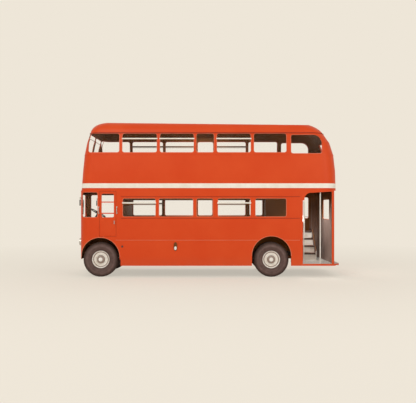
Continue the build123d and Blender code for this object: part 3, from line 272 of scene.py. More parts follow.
roadDust = {"color": (150, 118, 92), "top": 0.62, "amount": 0.16}
heavyDust = {"color": (128, 104, 84), "top": 0.9, "amount": 0.45}
paints = {
    "bodyPaint": {
        "base": (212, 67, 14), "second": (216, 74, 22), "rough": (0.4, 0.5), "patch": 1.1, "dust": roadDust,
        "Coat_Weight": 0.05, "Coat_Roughness": 0.2, "Specular_IOR_Level": 0.2,
    },
    # A lighter copy of the body red: painted highlight along the beads and window frames
    "bodyHighlight": {
        "base": (222, 112, 76), "second": (226, 126, 92), "rough": (0.36, 0.48), "Coat_Weight": 0.06,
        "Specular_IOR_Level": 0.3,
    },
    "bodyShade": {
        "base": (150, 46, 20), "second": (138, 42, 18), "rough": (0.4, 0.5), "Specular_IOR_Level": 0.2,
    },
    "creamPaint": {
        "base": (242, 236, 224), "second": (232, 224, 208), "rough": (0.34, 0.46), "bump": 0.03,
        "Coat_Weight": 0.15,
    },
    "liningPaint": {
        "base": (118, 72, 34), "second": (104, 63, 30), "rough": (0.5, 0.66), "patch": 2.4, "grain": 70.0,
        "bump": 0.06, "Specular_IOR_Level": 0.1,
    },
    "greyLining": {
        "base": (158, 136, 126), "second": (138, 116, 106), "rough": (0.5, 0.66), "patch": 2.4, "grain": 70.0,
        "bump": 0.06, "Specular_IOR_Level": 0.1,
    },
    "archPaint": {
        "base": (134, 84, 38), "second": (118, 74, 32), "rough": (0.6, 0.8), "grain": 45.0, "bump": 0.2,
        "dust": heavyDust, "Specular_IOR_Level": 0.1,
    },
    "chassisPaint": {
        "base": (62, 52, 46), "second": (76, 62, 52), "rough": (0.45, 0.65), "patch": 5.0, "grain": 60.0,
        "bump": 0.15, "dust": heavyDust,
    },
    "engineIron": {
        "base": (112, 116, 110), "second": (88, 88, 80), "rough": (0.45, 0.7), "patch": 6.0, "grain": 110.0,
        "bump": 0.35, "Metallic": 0.25,
    },
    "brightMetal": {
        "base": (214, 212, 204), "second": (196, 194, 186), "rough": (0.14, 0.26), "patch": 5.0,
        "grain": 140.0, "Metallic": 0.9,
    },
    "railEnamel": {
        "base": (236, 232, 222), "second": (224, 218, 206), "rough": (0.22, 0.34), "patch": 8.0,
        "Coat_Weight": 0.5,
    },
    "blackPlastic": {
        "base": (44, 36, 32), "second": (54, 44, 38), "rough": (0.3, 0.42), "patch": 8.0, "grain": 160.0,
        "bump": 0.05,
    },
    "gasketRubber": {
        "base": (70, 52, 44), "second": (84, 64, 54), "rough": (0.55, 0.7), "patch": 9.0, "grain": 140.0,
        "bump": 0.1,
    },
    "wheelRim": {
        "base": (72, 46, 30), "second": (60, 38, 26), "rough": (0.36, 0.5), "patch": 8.0, "grain": 160.0,
        "bump": 0.05, "Specular_IOR_Level": 0.3,
    },
    "plateBlank": {
        "base": (226, 222, 210), "second": (214, 208, 194), "rough": (0.35, 0.5), "patch": 6.0,
        "grain": 120.0, "bump": 0.03,
    },
    "blindBlank": {
        "base": (40, 34, 30), "second": (50, 42, 36), "rough": (0.5, 0.65), "patch": 5.0, "grain": 120.0,
        "bump": 0.03,
    },
    "stepPaint": {
        "base": (236, 228, 216), "second": (214, 204, 190), "rough": (0.5, 0.7), "patch": 6.0, "grain": 80.0,
        "bump": 0.12,
    },
    "stringerPaint": {
        "base": (128, 104, 98), "second": (104, 82, 76), "rough": (0.5, 0.66), "grain": 80.0, "bump": 0.08,
    },
    "redLens": {
        "base": (176, 24, 18), "second": (160, 20, 16), "rough": (0.08, 0.14), "patch": 12.0, "grain": 220.0,
        "bump": 0.05, "Coat_Weight": 0.6,
    },
    "clearLens": {
        "base": (236, 234, 226), "second": (222, 220, 212), "rough": (0.08, 0.16), "patch": 20.0,
        "grain": 200.0, "bump": 0.2, "Coat_Weight": 0.8,
    },
}
finish = {name: paintedFinish(name, **look) for name, look in paints.items()}

glassLook = {"color": (238, 232, 220), "clouds": 2.2, "alpha": (0.003, 0.009), "rough": (0.03, 0.09)}


def glassFinish(name):
    material, tree, shader = startMaterial(
        name, Metallic=0.0, Specular_IOR_Level=0.4, Base_Color=fromScreen(*glassLook["color"]),
    )
    cloud = noiseAt(tree, objectPlace(tree), glassLook["clouds"], 4.0)
    setSockets(
        tree, shader, Alpha=mapRange(tree, cloud, *noiseSpan, *glassLook["alpha"]),
        Roughness=mapRange(tree, cloud, *noiseSpan, *glassLook["rough"]),
    )
    return material


slatLooks = {
    "floorSlats": {
        "board": [(126, 98, 74), (108, 82, 60)], "gap": (60, 42, 28), "turn": 0.0, "pitch": 0.05,
        "share": 0.18, "rough": (0.5, 0.7),
    },
    "platformTread": {
        "board": [(196, 190, 180), (176, 168, 158)], "gap": (132, 120, 110), "turn": math.pi / 2,
        "pitch": 0.04, "share": 0.3, "rough": (0.45, 0.65),
    },
}


def slatFinish(name, board, gap, turn, pitch, share, rough):
    material, tree, shader = startMaterial(name)
    wood = useEffect(
        tree, "mottle", Base=fromScreen(*board[0]), Second=fromScreen(*board[1]), Patch_Scale=9.0,
        Grain_Scale=70.0, Rough_Low=rough[0], Rough_High=rough[1],
    )
    lines = useEffect(
        tree, "bands", First=wood["Color"], Second=fromScreen(*gap), Turn=turn, Pitch=pitch, Line_Share=share,
    )
    setSockets(tree, shader, Base_Color=lines["Color"], Roughness=wood["Roughness"])
    addBump(tree, shader, mathOf(tree, "SUBTRACT", wood["Height"], lines["Mask"]), 0.3, 0.003)
    return material


clothLook = {"ground": (84, 50, 34), "thread": (126, 72, 46), "worn": (58, 32, 20), "threadSize": 110.0}


def clothFinish(name):
    material, tree, shader = startMaterial(name, Sheen_Weight=0.4, Sheen_Roughness=0.5)
    weave = useEffect(
        tree, "weave", Ground=fromScreen(*clothLook["ground"]), Thread=fromScreen(*clothLook["thread"]),
        Size=clothLook["threadSize"],
    )
    layer = useEffect(
        tree, "mottle", Base=weave["Color"], Second=fromScreen(*clothLook["worn"]), Patch_Scale=4.0,
        Grain_Scale=90.0, Rough_Low=0.8, Rough_High=0.95,
    )
    setSockets(tree, shader, Base_Color=layer["Color"], Roughness=layer["Roughness"])
    addBump(tree, shader, weave["Height"], 0.4, 0.0015)
    return material


axles = {"front": {"x": -3.055, "z": 0.49}, "rear": {"x": 1.761, "z": 0.49}}
# Wheel tones: the lighter and darker copies of the rubber and of the rim cream are painted highlight and
# painted shade
wheelTones = {
    "rubberShade": (62, 40, 30), "rubberMid": (96, 72, 66), "rubberHighlight": (112, 88, 82),
    "rimHighlight": (250, 247, 240), "rimLight": (242, 237, 228), "rimShade": (170, 150, 138),
    "rimGrooveShade": (112, 88, 78),
}
# Rings of colour from the axle outwards: the radius and the tone reached there. On the tyres the pale ring is
# a painted highlight on the sidewall's bulge, and the dark rings are painted shade at the bead and the
# shoulder
tyreLook = {
    "stops": [
        (0.0, "rubberMid"), (0.25, "rubberShade"), (0.275, "rubberMid"), (0.35, "rubberMid"),
        (0.385, "rubberHighlight"), (0.41, "rubberMid"), (0.452, "rubberShade"), (0.49, "rubberShade"),
    ],
    "grime": (150, 128, 110), "rough": (0.62, 0.8), "bump": 0.15,
}
# On the rims the darker rings are painted shade in the grooves and dish, and the brightest rings are painted
# highlight on the cap and the lip
rimLook = {
    "stops": [
        (0.0, "rimHighlight"), (0.056, "rimHighlight"), (0.064, "rimGrooveShade"), (0.074, "rimShade"), (0.1, "rimShade"),
        (0.11, "rimGrooveShade"), (0.12, "rimLight"), (0.19, "rimLight"), (0.198, "rimGrooveShade"), (0.206, "rimShade"),
        (0.216, "rimShade"), (0.224, "rimHighlight"), (0.24, "rimHighlight"), (0.25, "rubberMid"),
    ],
    "grime": (226, 218, 208), "rough": (0.35, 0.5), "bump": 0.04, "Coat_Weight": 0.15,
}
ringReach = 0.5  # the radius at which the colour ramp ends


def ringFinish(name, axle, stops, grime, rough, bump, **shaderValues):
    material, tree, shader = startMaterial(name, **shaderValues)
    radius = useEffect(tree, "radial", Axle_X=axle["x"], Axle_Z=axle["z"])["Radius"]
    ramp = addNode(tree, "ShaderNodeValToRGB")
    setSockets(tree, ramp, Fac=mathOf(tree, "MULTIPLY", radius, 1 / ringReach))
    elements = ramp.color_ramp.elements
    while len(elements) < len(stops):
        elements.new(0.5)
    for element, (stopRadius, tone) in zip(elements, stops):
        element.position = stopRadius / ringReach
        element.color = fromScreen(*wheelTones[tone])
    cloud = useEffect(tree, "mottle", Patch_Scale=9.0)["Height"]
    layer = useEffect(
        tree, "mottle", Base=ramp.outputs["Color"],
        Second=mixColors(tree, cloud, ramp.outputs["Color"], fromScreen(*grime), "MULTIPLY"),
        Patch_Scale=7.0, Grain_Scale=120.0, Rough_Low=rough[0], Rough_High=rough[1],
    )
    setSockets(tree, shader, Base_Color=layer["Color"], Roughness=layer["Roughness"])
    addBump(tree, shader, layer["Height"], bump, 0.002)
    return material


for axleName, axle in axles.items():
    finish[axleName + "Tyre"] = ringFinish(axleName + "TyreRubber", axle, **tyreLook)
    finish[axleName + "Rim"] = ringFinish(axleName + "RimPaint", axle, **rimLook)
finish["windowGlass"] = glassFinish("windowGlass")
for name, look in slatLooks.items():
    finish[name] = slatFinish(name, **look)
finish["seatCloth"] = clothFinish("seatCloth")
print("finishes made:", len(finish))


# Finishes on the CAD nodes: a rule gives each face the place of its finish in the node's list

core = {"front": -3.345, "rear": 3.236, "frontHalf": 0.94, "rearHalf": 0.82}
rearDome = {"x": 3.0, "half": 0.95, "z": 3.9}
crown = {"z": 4.08, "alongShare": 0.1, "acrossShare": 0.5}
cabCore = {"front": -3.362, "side": -0.94, "depth": 0.25, "inner": -0.372, "bottom": 0.5, "floor": 0.95}
facing = {"square": 0.7, "slant": 0.5, "under": -0.3, "inward": -0.35, "edge": 0.9}  # shares of a normal


def outwardAt(place):
    half = core["frontHalf"] if place.x < 0 else core["rearHalf"]
    nearX = max(core["front"], min(core["rear"], place.x))
    nearY = max(-half, min(half, place.y))
    away = Vector((place.x - nearX, place.y - nearY, 0))
    return away.normalized() if away.length > 1e-5 else Vector((0, 0, 0))


def underRearDome(centre, normal):
    inDome = centre.x > rearDome["x"] and abs(centre.y) < rearDome["half"] and centre.z > rearDome["z"]
    return inDome and normal.z < facing["under"]


def lined(centre, normal):
    if underRearDome(centre, normal):
        return 1
    away = outwardAt(centre)
    if centre.z > crown["z"]:
        away = Vector((centre.x * crown["alongShare"], centre.y * crown["acrossShare"], 1)).normalized()
    return 1 if normal.dot(away) < facing["inward"] else 0


rearOpening = {"y0": -0.63, "y1": 0.43, "z0": 1.59, "z1": 2.21}
frontOpening = {"y0": -0.91, "y1": 0.91, "z0": 3.47, "z1": 4.06}


def onEdgeOf(opening, centre, normal):
    across = opening["y0"] < centre.y < opening["y1"]
    upright = opening["z0"] < centre.z < opening["z1"]
    return across and upright and abs(normal.dot(outwardAt(centre))) < facing["slant"]


def rearRule(centre, normal):
    inward = lined(centre, normal)
    if inward and centre.z < rearOpening["z0"]:
        return 2
    return 1 if inward or onEdgeOf(rearOpening, centre, normal) else 0


def frontRule(centre, normal):
    return 1 if lined(centre, normal) or onEdgeOf(frontOpening, centre, normal) else 0


arches = {
    "front": {"x": axles["front"]["x"], "z": 0.56}, "rear": {"x": axles["rear"]["x"], "z": 0.6},
    "skin": 0.55, "skinLap": 0.012, "sheet": 0.565, "cabSheet": 0.585, "inner": 0.69,
}


def reachFrom(axleName, centre):
    arch = arches[axleName]
    return Vector((centre.x - arch["x"], 0, centre.z - arch["z"])).length


def cabRule(centre, normal):
    inArch = reachFrom("front", centre) < arches["cabSheet"] and centre.y < -arches["inner"]
    if inArch and abs(normal.y) < facing["edge"]:
        return 2
    outX, outY = max(0.0, cabCore["front"] - centre.x), max(0.0, cabCore["side"] - centre.y)
    inSkin = math.hypot(outX, outY) < cabCore["depth"]
    if inSkin and centre.y < cabCore["inner"] and centre.z > cabCore["bottom"]:
        return 1
    return 2 if centre.z < cabCore["floor"] and abs(normal.z) > facing["edge"] else 0


def sideRule(centre, normal):
    onRing = abs(reachFrom("rear", centre) - arches["skin"]) < arches["skinLap"]
    return 2 if onRing and abs(normal.y) < facing["slant"] else lined(centre, normal)


doorFaces = {
    "handleX0": -2.67, "handleX1": -2.64, "handleY": -1.2205, "handleZ0": 1.48, "handleZ1": 1.6,
    "skin": -1.19,
}


def doorRule(centre, normal):
    inHandle = doorFaces["handleX0"] < centre.x < doorFaces["handleX1"] and centre.y < doorFaces["handleY"]
    if inHandle and doorFaces["handleZ0"] < centre.z < doorFaces["handleZ1"]:
        return 2
    return 1 if normal.y > facing["slant"] and centre.y > doorFaces["skin"] else 0


def floorRule(centre, normal):
    if normal.z > facing["square"]:
        return 0
    return 1 if centre.z > 0.71 and normal.z > -facing["slant"] else 2


def archSheetRule(centre, normal):
    inArch = reachFrom("rear", centre) < arches["sheet"] and abs(centre.y) > arches["inner"]
    return 2 if inArch else floorRule(centre, normal)


def platformRule(centre, normal):
    if normal.z > facing["square"]:
        return 0
    return 2 if normal.z < -facing["slant"] else 1


stairFaces = {"x0": 2.86, "x1": 3.2, "flightTop": 1.35, "climbStart": 1.3, "half": 0.63}


def stairRule(centre, normal):
    if normal.z > facing["square"]:
        return 2
    beside = centre.x < stairFaces["x0"] or centre.x > stairFaces["x1"]
    if beside and abs(normal.x) > facing["square"] and centre.z < stairFaces["flightTop"]:
        return 1
    inWell = centre.z > stairFaces["climbStart"] and abs(centre.y) < stairFaces["half"]
    return 1 if inWell and abs(normal.y) > facing["square"] else 0


wingInside = {"bottom": 0.5, "y": 0.65, "top": 1.09}


def wingRule(centre, normal):
    if reachFrom("front", centre) < arches["sheet"] and centre.z > wingInside["bottom"]:
        return 1
    return 1 if centre.y < wingInside["y"] and centre.z < wingInside["top"] else 0


def bonnetRule(centre, normal):
    inward = centre.z < 1.455 and normal.y < facing["under"]  # below the curve of the top
    return 1 if inward or normal.z < -facing["slant"] else 0


radiatorCore = {"rear": -3.53, "z0": 0.76, "z1": 1.38, "middleY": 0.035, "half": 0.292}


def radiatorRule(centre, normal):
    upright = radiatorCore["z0"] < centre.z < radiatorCore["z1"]
    across = abs(centre.y - radiatorCore["middleY"]) < radiatorCore["half"]
    return 1 if centre.x > radiatorCore["rear"] and upright and across else 0


def engineRule(centre, normal):
    return 1 if centre.x > -1.95 or centre.z < 0.55 else 0  # behind the gearbox, and the exhaust


def mirrorRule(centre, normal):
    return 1 if normal.x < facing["slant"] and centre.z < 2.171 else 0  # the back of the glass, under its arm


shellPaint = ["bodyPaint", "liningPaint", "archPaint"]
nodeFinishes = [
    (["upper_rear", "upper_side_left", "upper_side_right"], shellPaint[:2], lined),
    (["roof", "emergency_window"], shellPaint[:2], lined),
    (["upper_front"], shellPaint[:2], frontRule),
    (["lower_rear"], ["bodyPaint", "liningPaint", "greyLining"], rearRule),
    (["lower_side_left", "lower_side_right"], shellPaint, sideRule),
    (["cab_shell"], shellPaint, cabRule),
    (["cab_door"], ["bodyPaint", "liningPaint", "brightMetal"], doorRule),
    (["front_wing"], ["bodyPaint", "archPaint"], wingRule),
    (["bonnet"], shellPaint[:2], bonnetRule),
    (["upper_floor"], ["floorSlats", "liningPaint", "liningPaint"], floorRule),
    (["lower_floor"], ["floorSlats", "liningPaint", "archPaint"], archSheetRule),
    (["platform"], ["platformTread", "bodyPaint", "archPaint"], platformRule),
    (["staircase"], ["stepPaint", "stringerPaint", "liningPaint"], stairRule),
    (["bulkheads"], ["liningPaint"], None),
    (["handrails"], ["railEnamel"], None),
    (["radiator"], ["brightMetal", "archPaint"], radiatorRule),
    (["chassis_frame", "front_axle", "rear_axle", "leaf_springs"], ["chassisPaint"], None),
    (["knuckle_left", "knuckle_right", "side_tanks"], ["chassisPaint"], None),
    (["power_unit"], ["engineIron", "chassisPaint"], engineRule),
    (["steering_column"], ["blackPlastic"], None),
    (["steering_wheel"], ["wheelRim"], None),
    (["mirrors"], ["brightMetal", "blackPlastic"], mirrorRule),
    (["window_glass", "cab_door_glass", "emergency_glass"], ["windowGlass"], None),
    (["front_rim_left", "front_rim_right"], ["frontRim"], None),
    (["rear_rims_left", "rear_rims_right"], ["rearRim"], None),
    (["front_tyre_left", "front_tyre_right"], ["frontTyre"], None),
    (["rear_tyres_left", "rear_tyres_right"], ["rearTyre"], None),
]
for nodeNames, materials, rule in nodeFinishes:
    for name in nodeNames:
        mesh = cadNodes[name].data
        mesh.materials.clear()
        for material in materials:
            mesh.materials.append(finish[material])
        for face in mesh.polygons:
            face.material_index = rule(face.center, face.normal) if rule else 0

for node in cadNodes.values():
    for face in node.data.polygons:
        face.use_smooth = True
    if not node.data.has_custom_normals:
        node.modifiers.new("mergeTriangles", "WELD").merge_threshold = 0.0001
        node.modifiers.new("keepEdges", "EDGE_SPLIT").split_angle = math.radians(30)
print("CAD nodes finished")


# Mesh helpers

def addBlock(bm, low, high, bevel=0.0, segments=2):
    middle = [(a + b) / 2 for a, b in zip(low, high)]
    size = [abs(b - a) for a, b in zip(low, high)]
    place = Matrix.Translation(middle) @ Matrix.Diagonal((*size, 1))
    made = bmesh.ops.create_cube(bm, size=1.0, matrix=place)["verts"]
    if bevel:
        roundEdges(bm, list({edge for vert in made for edge in vert.link_edges}), bevel, segments)


def roundEdges(bm, edges, offset, segments):
    bmesh.ops.bevel(
        bm, geom=edges, offset=offset, offset_type="OFFSET", affect="EDGES", segments=segments, profile=0.5,
        material=-1,
    )


def addBorder(bm, lowX, highX, box, margin, lap, bevel):
    # Four bars round an upright rectangle that faces forward or back
    y0, y1, z0, z1 = (box[key] for key in ("y0", "y1", "z0", "z1"))
    for low, high in (
        ((y0 - margin, z0 - margin), (y1 + margin, z0 + lap)),
        ((y0 - margin, z1 - lap), (y1 + margin, z1 + margin)),
        ((y0 - margin, z0), (y0 + lap, z1)),
        ((y1 - lap, z0), (y1 + margin, z1)),
    ):
        addBlock(bm, (lowX, *low), (highX, *high), bevel)


def addRod(bm, start, end, radius, sides=16, radiusEnd=None):
    start, end = Vector(start), Vector(end)
    along = end - start
    turn = along.to_track_quat("Z", "Y").to_matrix().to_4x4()
    bmesh.ops.create_cone(
        bm, cap_ends=True, segments=sides, radius1=radius, radius2=radius if radiusEnd is None else radiusEnd,
        depth=along.length, matrix=Matrix.Translation((start + end) / 2) @ turn,
    )


def addBall(bm, centre, radius):
    bmesh.ops.create_uvsphere(
        bm, u_segments=12, v_segments=6, radius=radius, matrix=Matrix.Translation(centre),
    )


def turnProfile(bm, points, centre, axis, side, steps, angle=2 * math.pi, closed=True):
    # points are (radius, across): radius upwards from the centre, across along the axis
    centre, axis = Vector(centre), Vector(axis)
    verts = []
    for radius, across in points:
        verts.append(bm.verts.new(centre + Vector((0, 0, radius)) + axis * (side * across)))
    count = len(verts) if closed else len(verts) - 1
    edges = [bm.edges.new((verts[i], verts[(i + 1) % len(verts)])) for i in range(count)]
    bmesh.ops.spin(
        bm, geom=verts + edges, cent=centre, axis=axis, angle=angle, steps=steps, use_merge=angle > 6.28,
    )


def closeUp(bm):
    bmesh.ops.remove_doubles(bm, verts=bm.verts, dist=0.00005)
    bmesh.ops.recalc_face_normals(bm, faces=bm.faces)


def pourInto(bm, piece):
    mesh = bpy.data.meshes.new("piece")
    piece.to_mesh(mesh)
    piece.free()
    bm.from_mesh(mesh)
    bpy.data.meshes.remove(mesh)


def keep(name, bm, material, body, slotName, splitAngle=40):
    mesh = bpy.data.meshes.new(name)
    bm.to_mesh(mesh)
    bm.free()
    piece = bpy.data.objects.new(name, mesh)
    scene.collection.objects.link(piece)
    mesh.materials.append(finish[material])
    for face in mesh.polygons:
        face.use_smooth = True
    if splitAngle:
        piece.modifiers.new("keepEdges", "EDGE_SPLIT").split_angle = math.radians(splitAngle)
    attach(piece, body)
    return piece


# Bands and mouldings that follow the body

upperRing = ["upper_front", "upper_rear", "upper_side_left", "upper_side_right"]
bodyBands = {
    "deckBand": {"low": 2.504, "high": 2.636, "proud": 0.006, "paint": "creamPaint", "slot": "rail_enamel"},
    "upperSillBead": {"low": 3.44, "high": 3.452, "proud": 0.006, "paint": "bodyPaint", "slot": "paint_red"},
    "roofGutter": {"low": 4.056, "high": 4.074, "proud": 0.014, "paint": "bodyShade", "slot": "paint_red"},
}
for name, band in bodyBands.items():
    bm = bmesh.new()
    for source in upperRing:
        bm.from_mesh(cadNodes[source].data)
    bmesh.ops.remove_doubles(bm, verts=bm.verts, dist=0.0004)
    for height, above in ((band["low"], True), (band["high"], False)):
        bmesh.ops.bisect_plane(
            bm, geom=bm.verts[:] + bm.edges[:] + bm.faces[:], plane_co=(0, 0, height), plane_no=(0, 0, 1),
            clear_inner=above, clear_outer=not above,
        )
    hidden = [face for face in bm.faces if face.normal.dot(outwardAt(face.calc_center_median())) < 0.3]
    bmesh.ops.delete(bm, geom=hidden, context="FACES")
    bmesh.ops.dissolve_limit(bm, angle_limit=0.002, verts=bm.verts, edges=bm.edges)
    grown = set(bmesh.ops.extrude_face_region(bm, geom=bm.faces[:])["geom"])
    for vert in bm.verts:  # the outer face stands proud and the inner one sinks 2 mm into the skin
        vert.co += outwardAt(vert.co) * (band["proud"] if vert in grown else -0.002)
    closeUp(bm)
    keep(name, bm, band["paint"], "bus", band["slot"], 30)

sideBeads = {
    "outer": 1.2255, "inner": 1.218, "half": 0.006, "lowZ": 1.04, "sillZ": 1.655, "cantZ": 2.262,
    "archGap": 0.36, "front": -2.47, "doorRear": -2.62, "platform": 2.56, "rear": 3.2, "offsideRear": 2.8,
}
lowBeads = bmesh.new()
highBeads = bmesh.new()
for side in (-1, 1):
    y0, y1 = sorted((side * sideBeads["inner"], side * sideBeads["outer"]))
    front = sideBeads["doorRear" if side < 0 else "front"]
    rear = sideBeads["platform" if side < 0 else "rear"]
    cantRear = sideBeads["platform" if side < 0 else "offsideRear"]
    for bm, x0, x1, z in (
        (lowBeads, front, arches["rear"]["x"] - sideBeads["archGap"], sideBeads["lowZ"]),
        (lowBeads, arches["rear"]["x"] + sideBeads["archGap"], rear, sideBeads["lowZ"]),
        (highBeads, sideBeads["front"], rear, sideBeads["sillZ"]),
        (highBeads, sideBeads["front"], cantRear, sideBeads["cantZ"]),
    ):
        addBlock(bm, (x0, y0, z - sideBeads["half"]), (x1, y1, z + sideBeads["half"]), 0.003)
# The low beads take the lighter red as a painted highlight, the sill and cant beads the darker red as painted
# shade
keep("sideBeads", lowBeads, "bodyHighlight", "bus", "paint_red")
keep("sillBeads", highBeads, "bodyShade", "bus", "paint_red")

archBeads = {"radius": 0.556, "thick": 0.009, "skin": 1.2165, "sides": 8, "steps": 48, "corner": 0.28}
beadRing = []
for count in range(archBeads["sides"]):
    angle = 2 * math.pi * count / archBeads["sides"]
    across = archBeads["thick"] * math.sin(angle)
    beadRing.append((archBeads["radius"] + archBeads["thick"] * math.cos(angle), across))
bm = bmesh.new()
for axleName, side in (("front", -1), ("rear", -1), ("rear", 1), ("front", 1)):
    arch = arches[axleName]
    piece = bmesh.new()
    start = (arch["x"], side * archBeads["skin"], arch["z"])
    turnProfile(piece, beadRing, start, (0, 1, 0), 1, archBeads["steps"], math.pi)
    upright = Matrix.Rotation(-math.pi / 2, 3, "Y")
    bmesh.ops.rotate(piece, verts=piece.verts, cent=(arch["x"], 0, arch["z"]), matrix=upright)
    if axleName == "front" and side < 0:
        for vert in piece.verts:  # this bead follows the rounded corner of the cab
            past = max(0.0, cabCore["front"] - vert.co.x)
            vert.co.y += archBeads["corner"] - math.sqrt(archBeads["corner"] ** 2 - past ** 2)
    ends = [edge for edge in piece.edges if edge.is_boundary]
    bmesh.ops.holes_fill(piece, edges=ends, sides=archBeads["sides"])
    closeUp(piece)
    pourInto(bm, piece)
# The arch beads take the lighter red as a painted highlight
keep("archBeads", bm, "bodyHighlight", "bus", "paint_red")
print("bands and beads made")


# Window frames round every pane

def panesOf(bm):
    left = set(bm.faces)
    while left:
        first = left.pop()
        pane, edge = [first], [first]
        while edge:
            face = edge.pop()
            for near in (other for line in face.edges for other in line.link_faces):
                if near in left:
                    left.remove(near)
                    pane.append(near)
                    edge.append(near)
        yield pane


windowFrames = [
    {"name": "windowFrames", "glass": "window_glass", "width": 0.014, "proud": 0.010, "body": "bus"},
    {"name": "doorWindowFrame", "glass": "cab_door_glass", "width": 0.01, "proud": 0.004, "body": "cab_door"},
    {
        "name": "exitWindowFrame", "glass": "emergency_glass", "width": 0.014, "proud": 0.010,
        "body": "emergency_exit",
    },
]
for row in windowFrames:
    bm = bmesh.new()
    bm.from_mesh(cadNodes[row["glass"]].data)
    bmesh.ops.remove_doubles(bm, verts=bm.verts, dist=0.0001)
    outer = set()
    for pane in list(panesOf(bm)):
        across = sum(abs(face.normal.y) * face.calc_area() for face in pane)
        along = sum(abs(face.normal.x) * face.calc_area() for face in pane)
        middle = sum((face.calc_center_median() for face in pane), Vector()) / len(pane)
        axis = 1 if across > along else 0
        sign = 1 if middle[axis] > 0 else -1
        outer.update(face for face in pane if face.normal[axis] * sign > 0.45)
    bmesh.ops.delete(bm, geom=[face for face in bm.faces if face not in outer], context="FACES")
    bmesh.ops.dissolve_limit(bm, angle_limit=0.01, verts=bm.verts, edges=bm.edges)
    inside = bm.faces[:]
    bmesh.ops.inset_region(bm, faces=inside, thickness=row["width"], use_boundary=True, use_even_offset=True)
    bmesh.ops.delete(bm, geom=inside, context="FACES")
    bm.normal_update()
    lift = bm.verts.layers.float_vector.new("lift")
    for vert in bm.verts:
        vert[lift] = vert.normal
    lifted = bmesh.ops.extrude_face_region(bm, geom=bm.faces[:])["geom"]
    for vert in lifted:
        if isinstance(vert, bmesh.types.BMVert):
            vert.co += vert[lift] * row["proud"]
    bm.verts.layers.float_vector.remove(lift)
    closeUp(bm)
    # The frames take the lighter red, a painted highlight round each pane
    keep(row["name"], bm, "bodyHighlight", row["body"], "paint_red", 30)

# Opening vents: a cream rail across the pane; a dark strip under it along the top edge of the sliding pane,
# which paints the rail's shadow; and a dark block behind it, which paints shade on the rail's inner side
ventSizes = {
    "upper": {
        "z": 3.9, "half": 0.017, "drop": 0.034, "runs": [(-2.452, -1.448), (-1.394, -0.408), (0.209, 1.198)],
    },
    "lower": {"z": 2.086, "half": 0.019, "drop": 0.044, "runs": [(-2.435, -1.481), (0.238, 1.189)]},
    "out": 0.006, "in": 0.022, "shadeStripHalf": 0.007, "shadeStripSkin": 0.004, "inset": 0.01, "deep": 0.012,
    "gap": 0.001,
}
upperSkin = {"lowZ": 3.8, "lowHalf": 1.184, "highZ": 4.075, "highHalf": 1.142}
rails = bmesh.new()
channels = bmesh.new()
for deck, skin in (("upper", None), ("lower", 1.22)):
    size = ventSizes[deck]
    if skin is None:
        share = (size["z"] - upperSkin["lowZ"]) / (upperSkin["highZ"] - upperSkin["lowZ"])
        skin = upperSkin["lowHalf"] + share * (upperSkin["highHalf"] - upperSkin["lowHalf"])
    back = skin - ventSizes["in"]
    low, high, dropZ = size["z"] - size["half"], size["z"] + size["half"], size["z"] - size["drop"]
    for x0, x1 in size["runs"]:
        for side in (-1, 1):
            y0, y1 = sorted((side * back, side * (skin + ventSizes["out"])))
            addBlock(rails, (x0, y0, low), (x1, y1, high), 0.004)
            # The dark strips are painted shadow under each rail and painted shade behind it
            x2, x3 = x0 + ventSizes["inset"], x1 - ventSizes["inset"]
            y0, y1 = sorted((side * back, side * (skin - ventSizes["shadeStripSkin"])))
            half = ventSizes["shadeStripHalf"]
            addBlock(channels, (x2, y0, dropZ - half), (x3, y1, dropZ + half), 0.002)
            y0, y1 = sorted((side * (back - ventSizes["deep"]), side * (back - ventSizes["gap"])))
            addBlock(channels, (x2, y0, low), (x3, y1, high), 0.002)
keep("ventRails", rails, "creamPaint", "bus", "rail_enamel")
keep("ventShadeStrips", channels, "liningPaint", "bus", "bulkhead_panel")
print("windows dressed")


# Tyres with tread blocks, rims with nuts and hub rings

tyreSizes = {
    "radius": 0.49, "bead": 0.256, "steps": 84, "groove": 0.008, "blockGap": 0.0035, "blockShort": 0.0006,
    "front": {"half": 0.105, "centres": [1.025]}, "rear": {"half": 0.1, "centres": [1.065, 0.835]},
}


def tyreProfile(half, centre):
    bead, radius = tyreSizes["bead"], tyreSizes["radius"]
    floor = radius - tyreSizes["groove"]
    outer = [
        (bead, half - 0.022), (bead + 0.010, half - 0.012), (bead + 0.018, half - 0.010),
        (bead + 0.022, half - 0.014), (bead + 0.030, half - 0.010), (bead + 0.050, half - 0.003),
        (bead + 0.085, half), (bead + 0.090, half + 0.002), (bead + 0.100, half + 0.002),
        (bead + 0.105, half), (radius - 0.055, half - 0.003), (radius - 0.036, half - 0.006),
        (radius - 0.032, half - 0.004), (radius - 0.026, half - 0.005), (radius - 0.016, half - 0.016),
        (floor, half - 0.028), (floor, 0.046), (floor - 0.004, 0.044), (floor - 0.004, 0.038),
        (floor, 0.036), (floor, 0.013), (floor - 0.004, 0.011), (floor - 0.004, 0.006), (floor, 0.004),
    ]
    inner = [(distance, -across) for distance, across in reversed(outer)]
    return [(distance, centre + across) for distance, across in outer + inner]


def makeTyre(name, axleName, side, node, body):
    size, axle = tyreSizes[axleName], axles[axleName]
    floor = tyreSizes["radius"] - tyreSizes["groove"]
    bm = bmesh.new()
    for centre in size["centres"]:
        piece = bmesh.new()
        profile = tyreProfile(size["half"], centre)
        turnProfile(piece, profile, (axle["x"], 0, axle["z"]), (0, 1, 0), side, tyreSizes["steps"])
        closeUp(piece)
        blocks = []
        for face in piece.faces:
            reach = [math.hypot(vert.co.x - axle["x"], vert.co.z - axle["z"]) for vert in face.verts]
            if min(reach) > floor - 0.001 and len(face.verts) == 4:
                blocks.append(face)
        bmesh.ops.inset_individual(
            piece, faces=blocks, thickness=tyreSizes["blockGap"],
            depth=tyreSizes["groove"] - tyreSizes["blockShort"], use_even_offset=True,
        )
        pourInto(bm, piece)
    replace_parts(keep(name, bm, axleName + "Tyre", body, "tyre", 35), node)


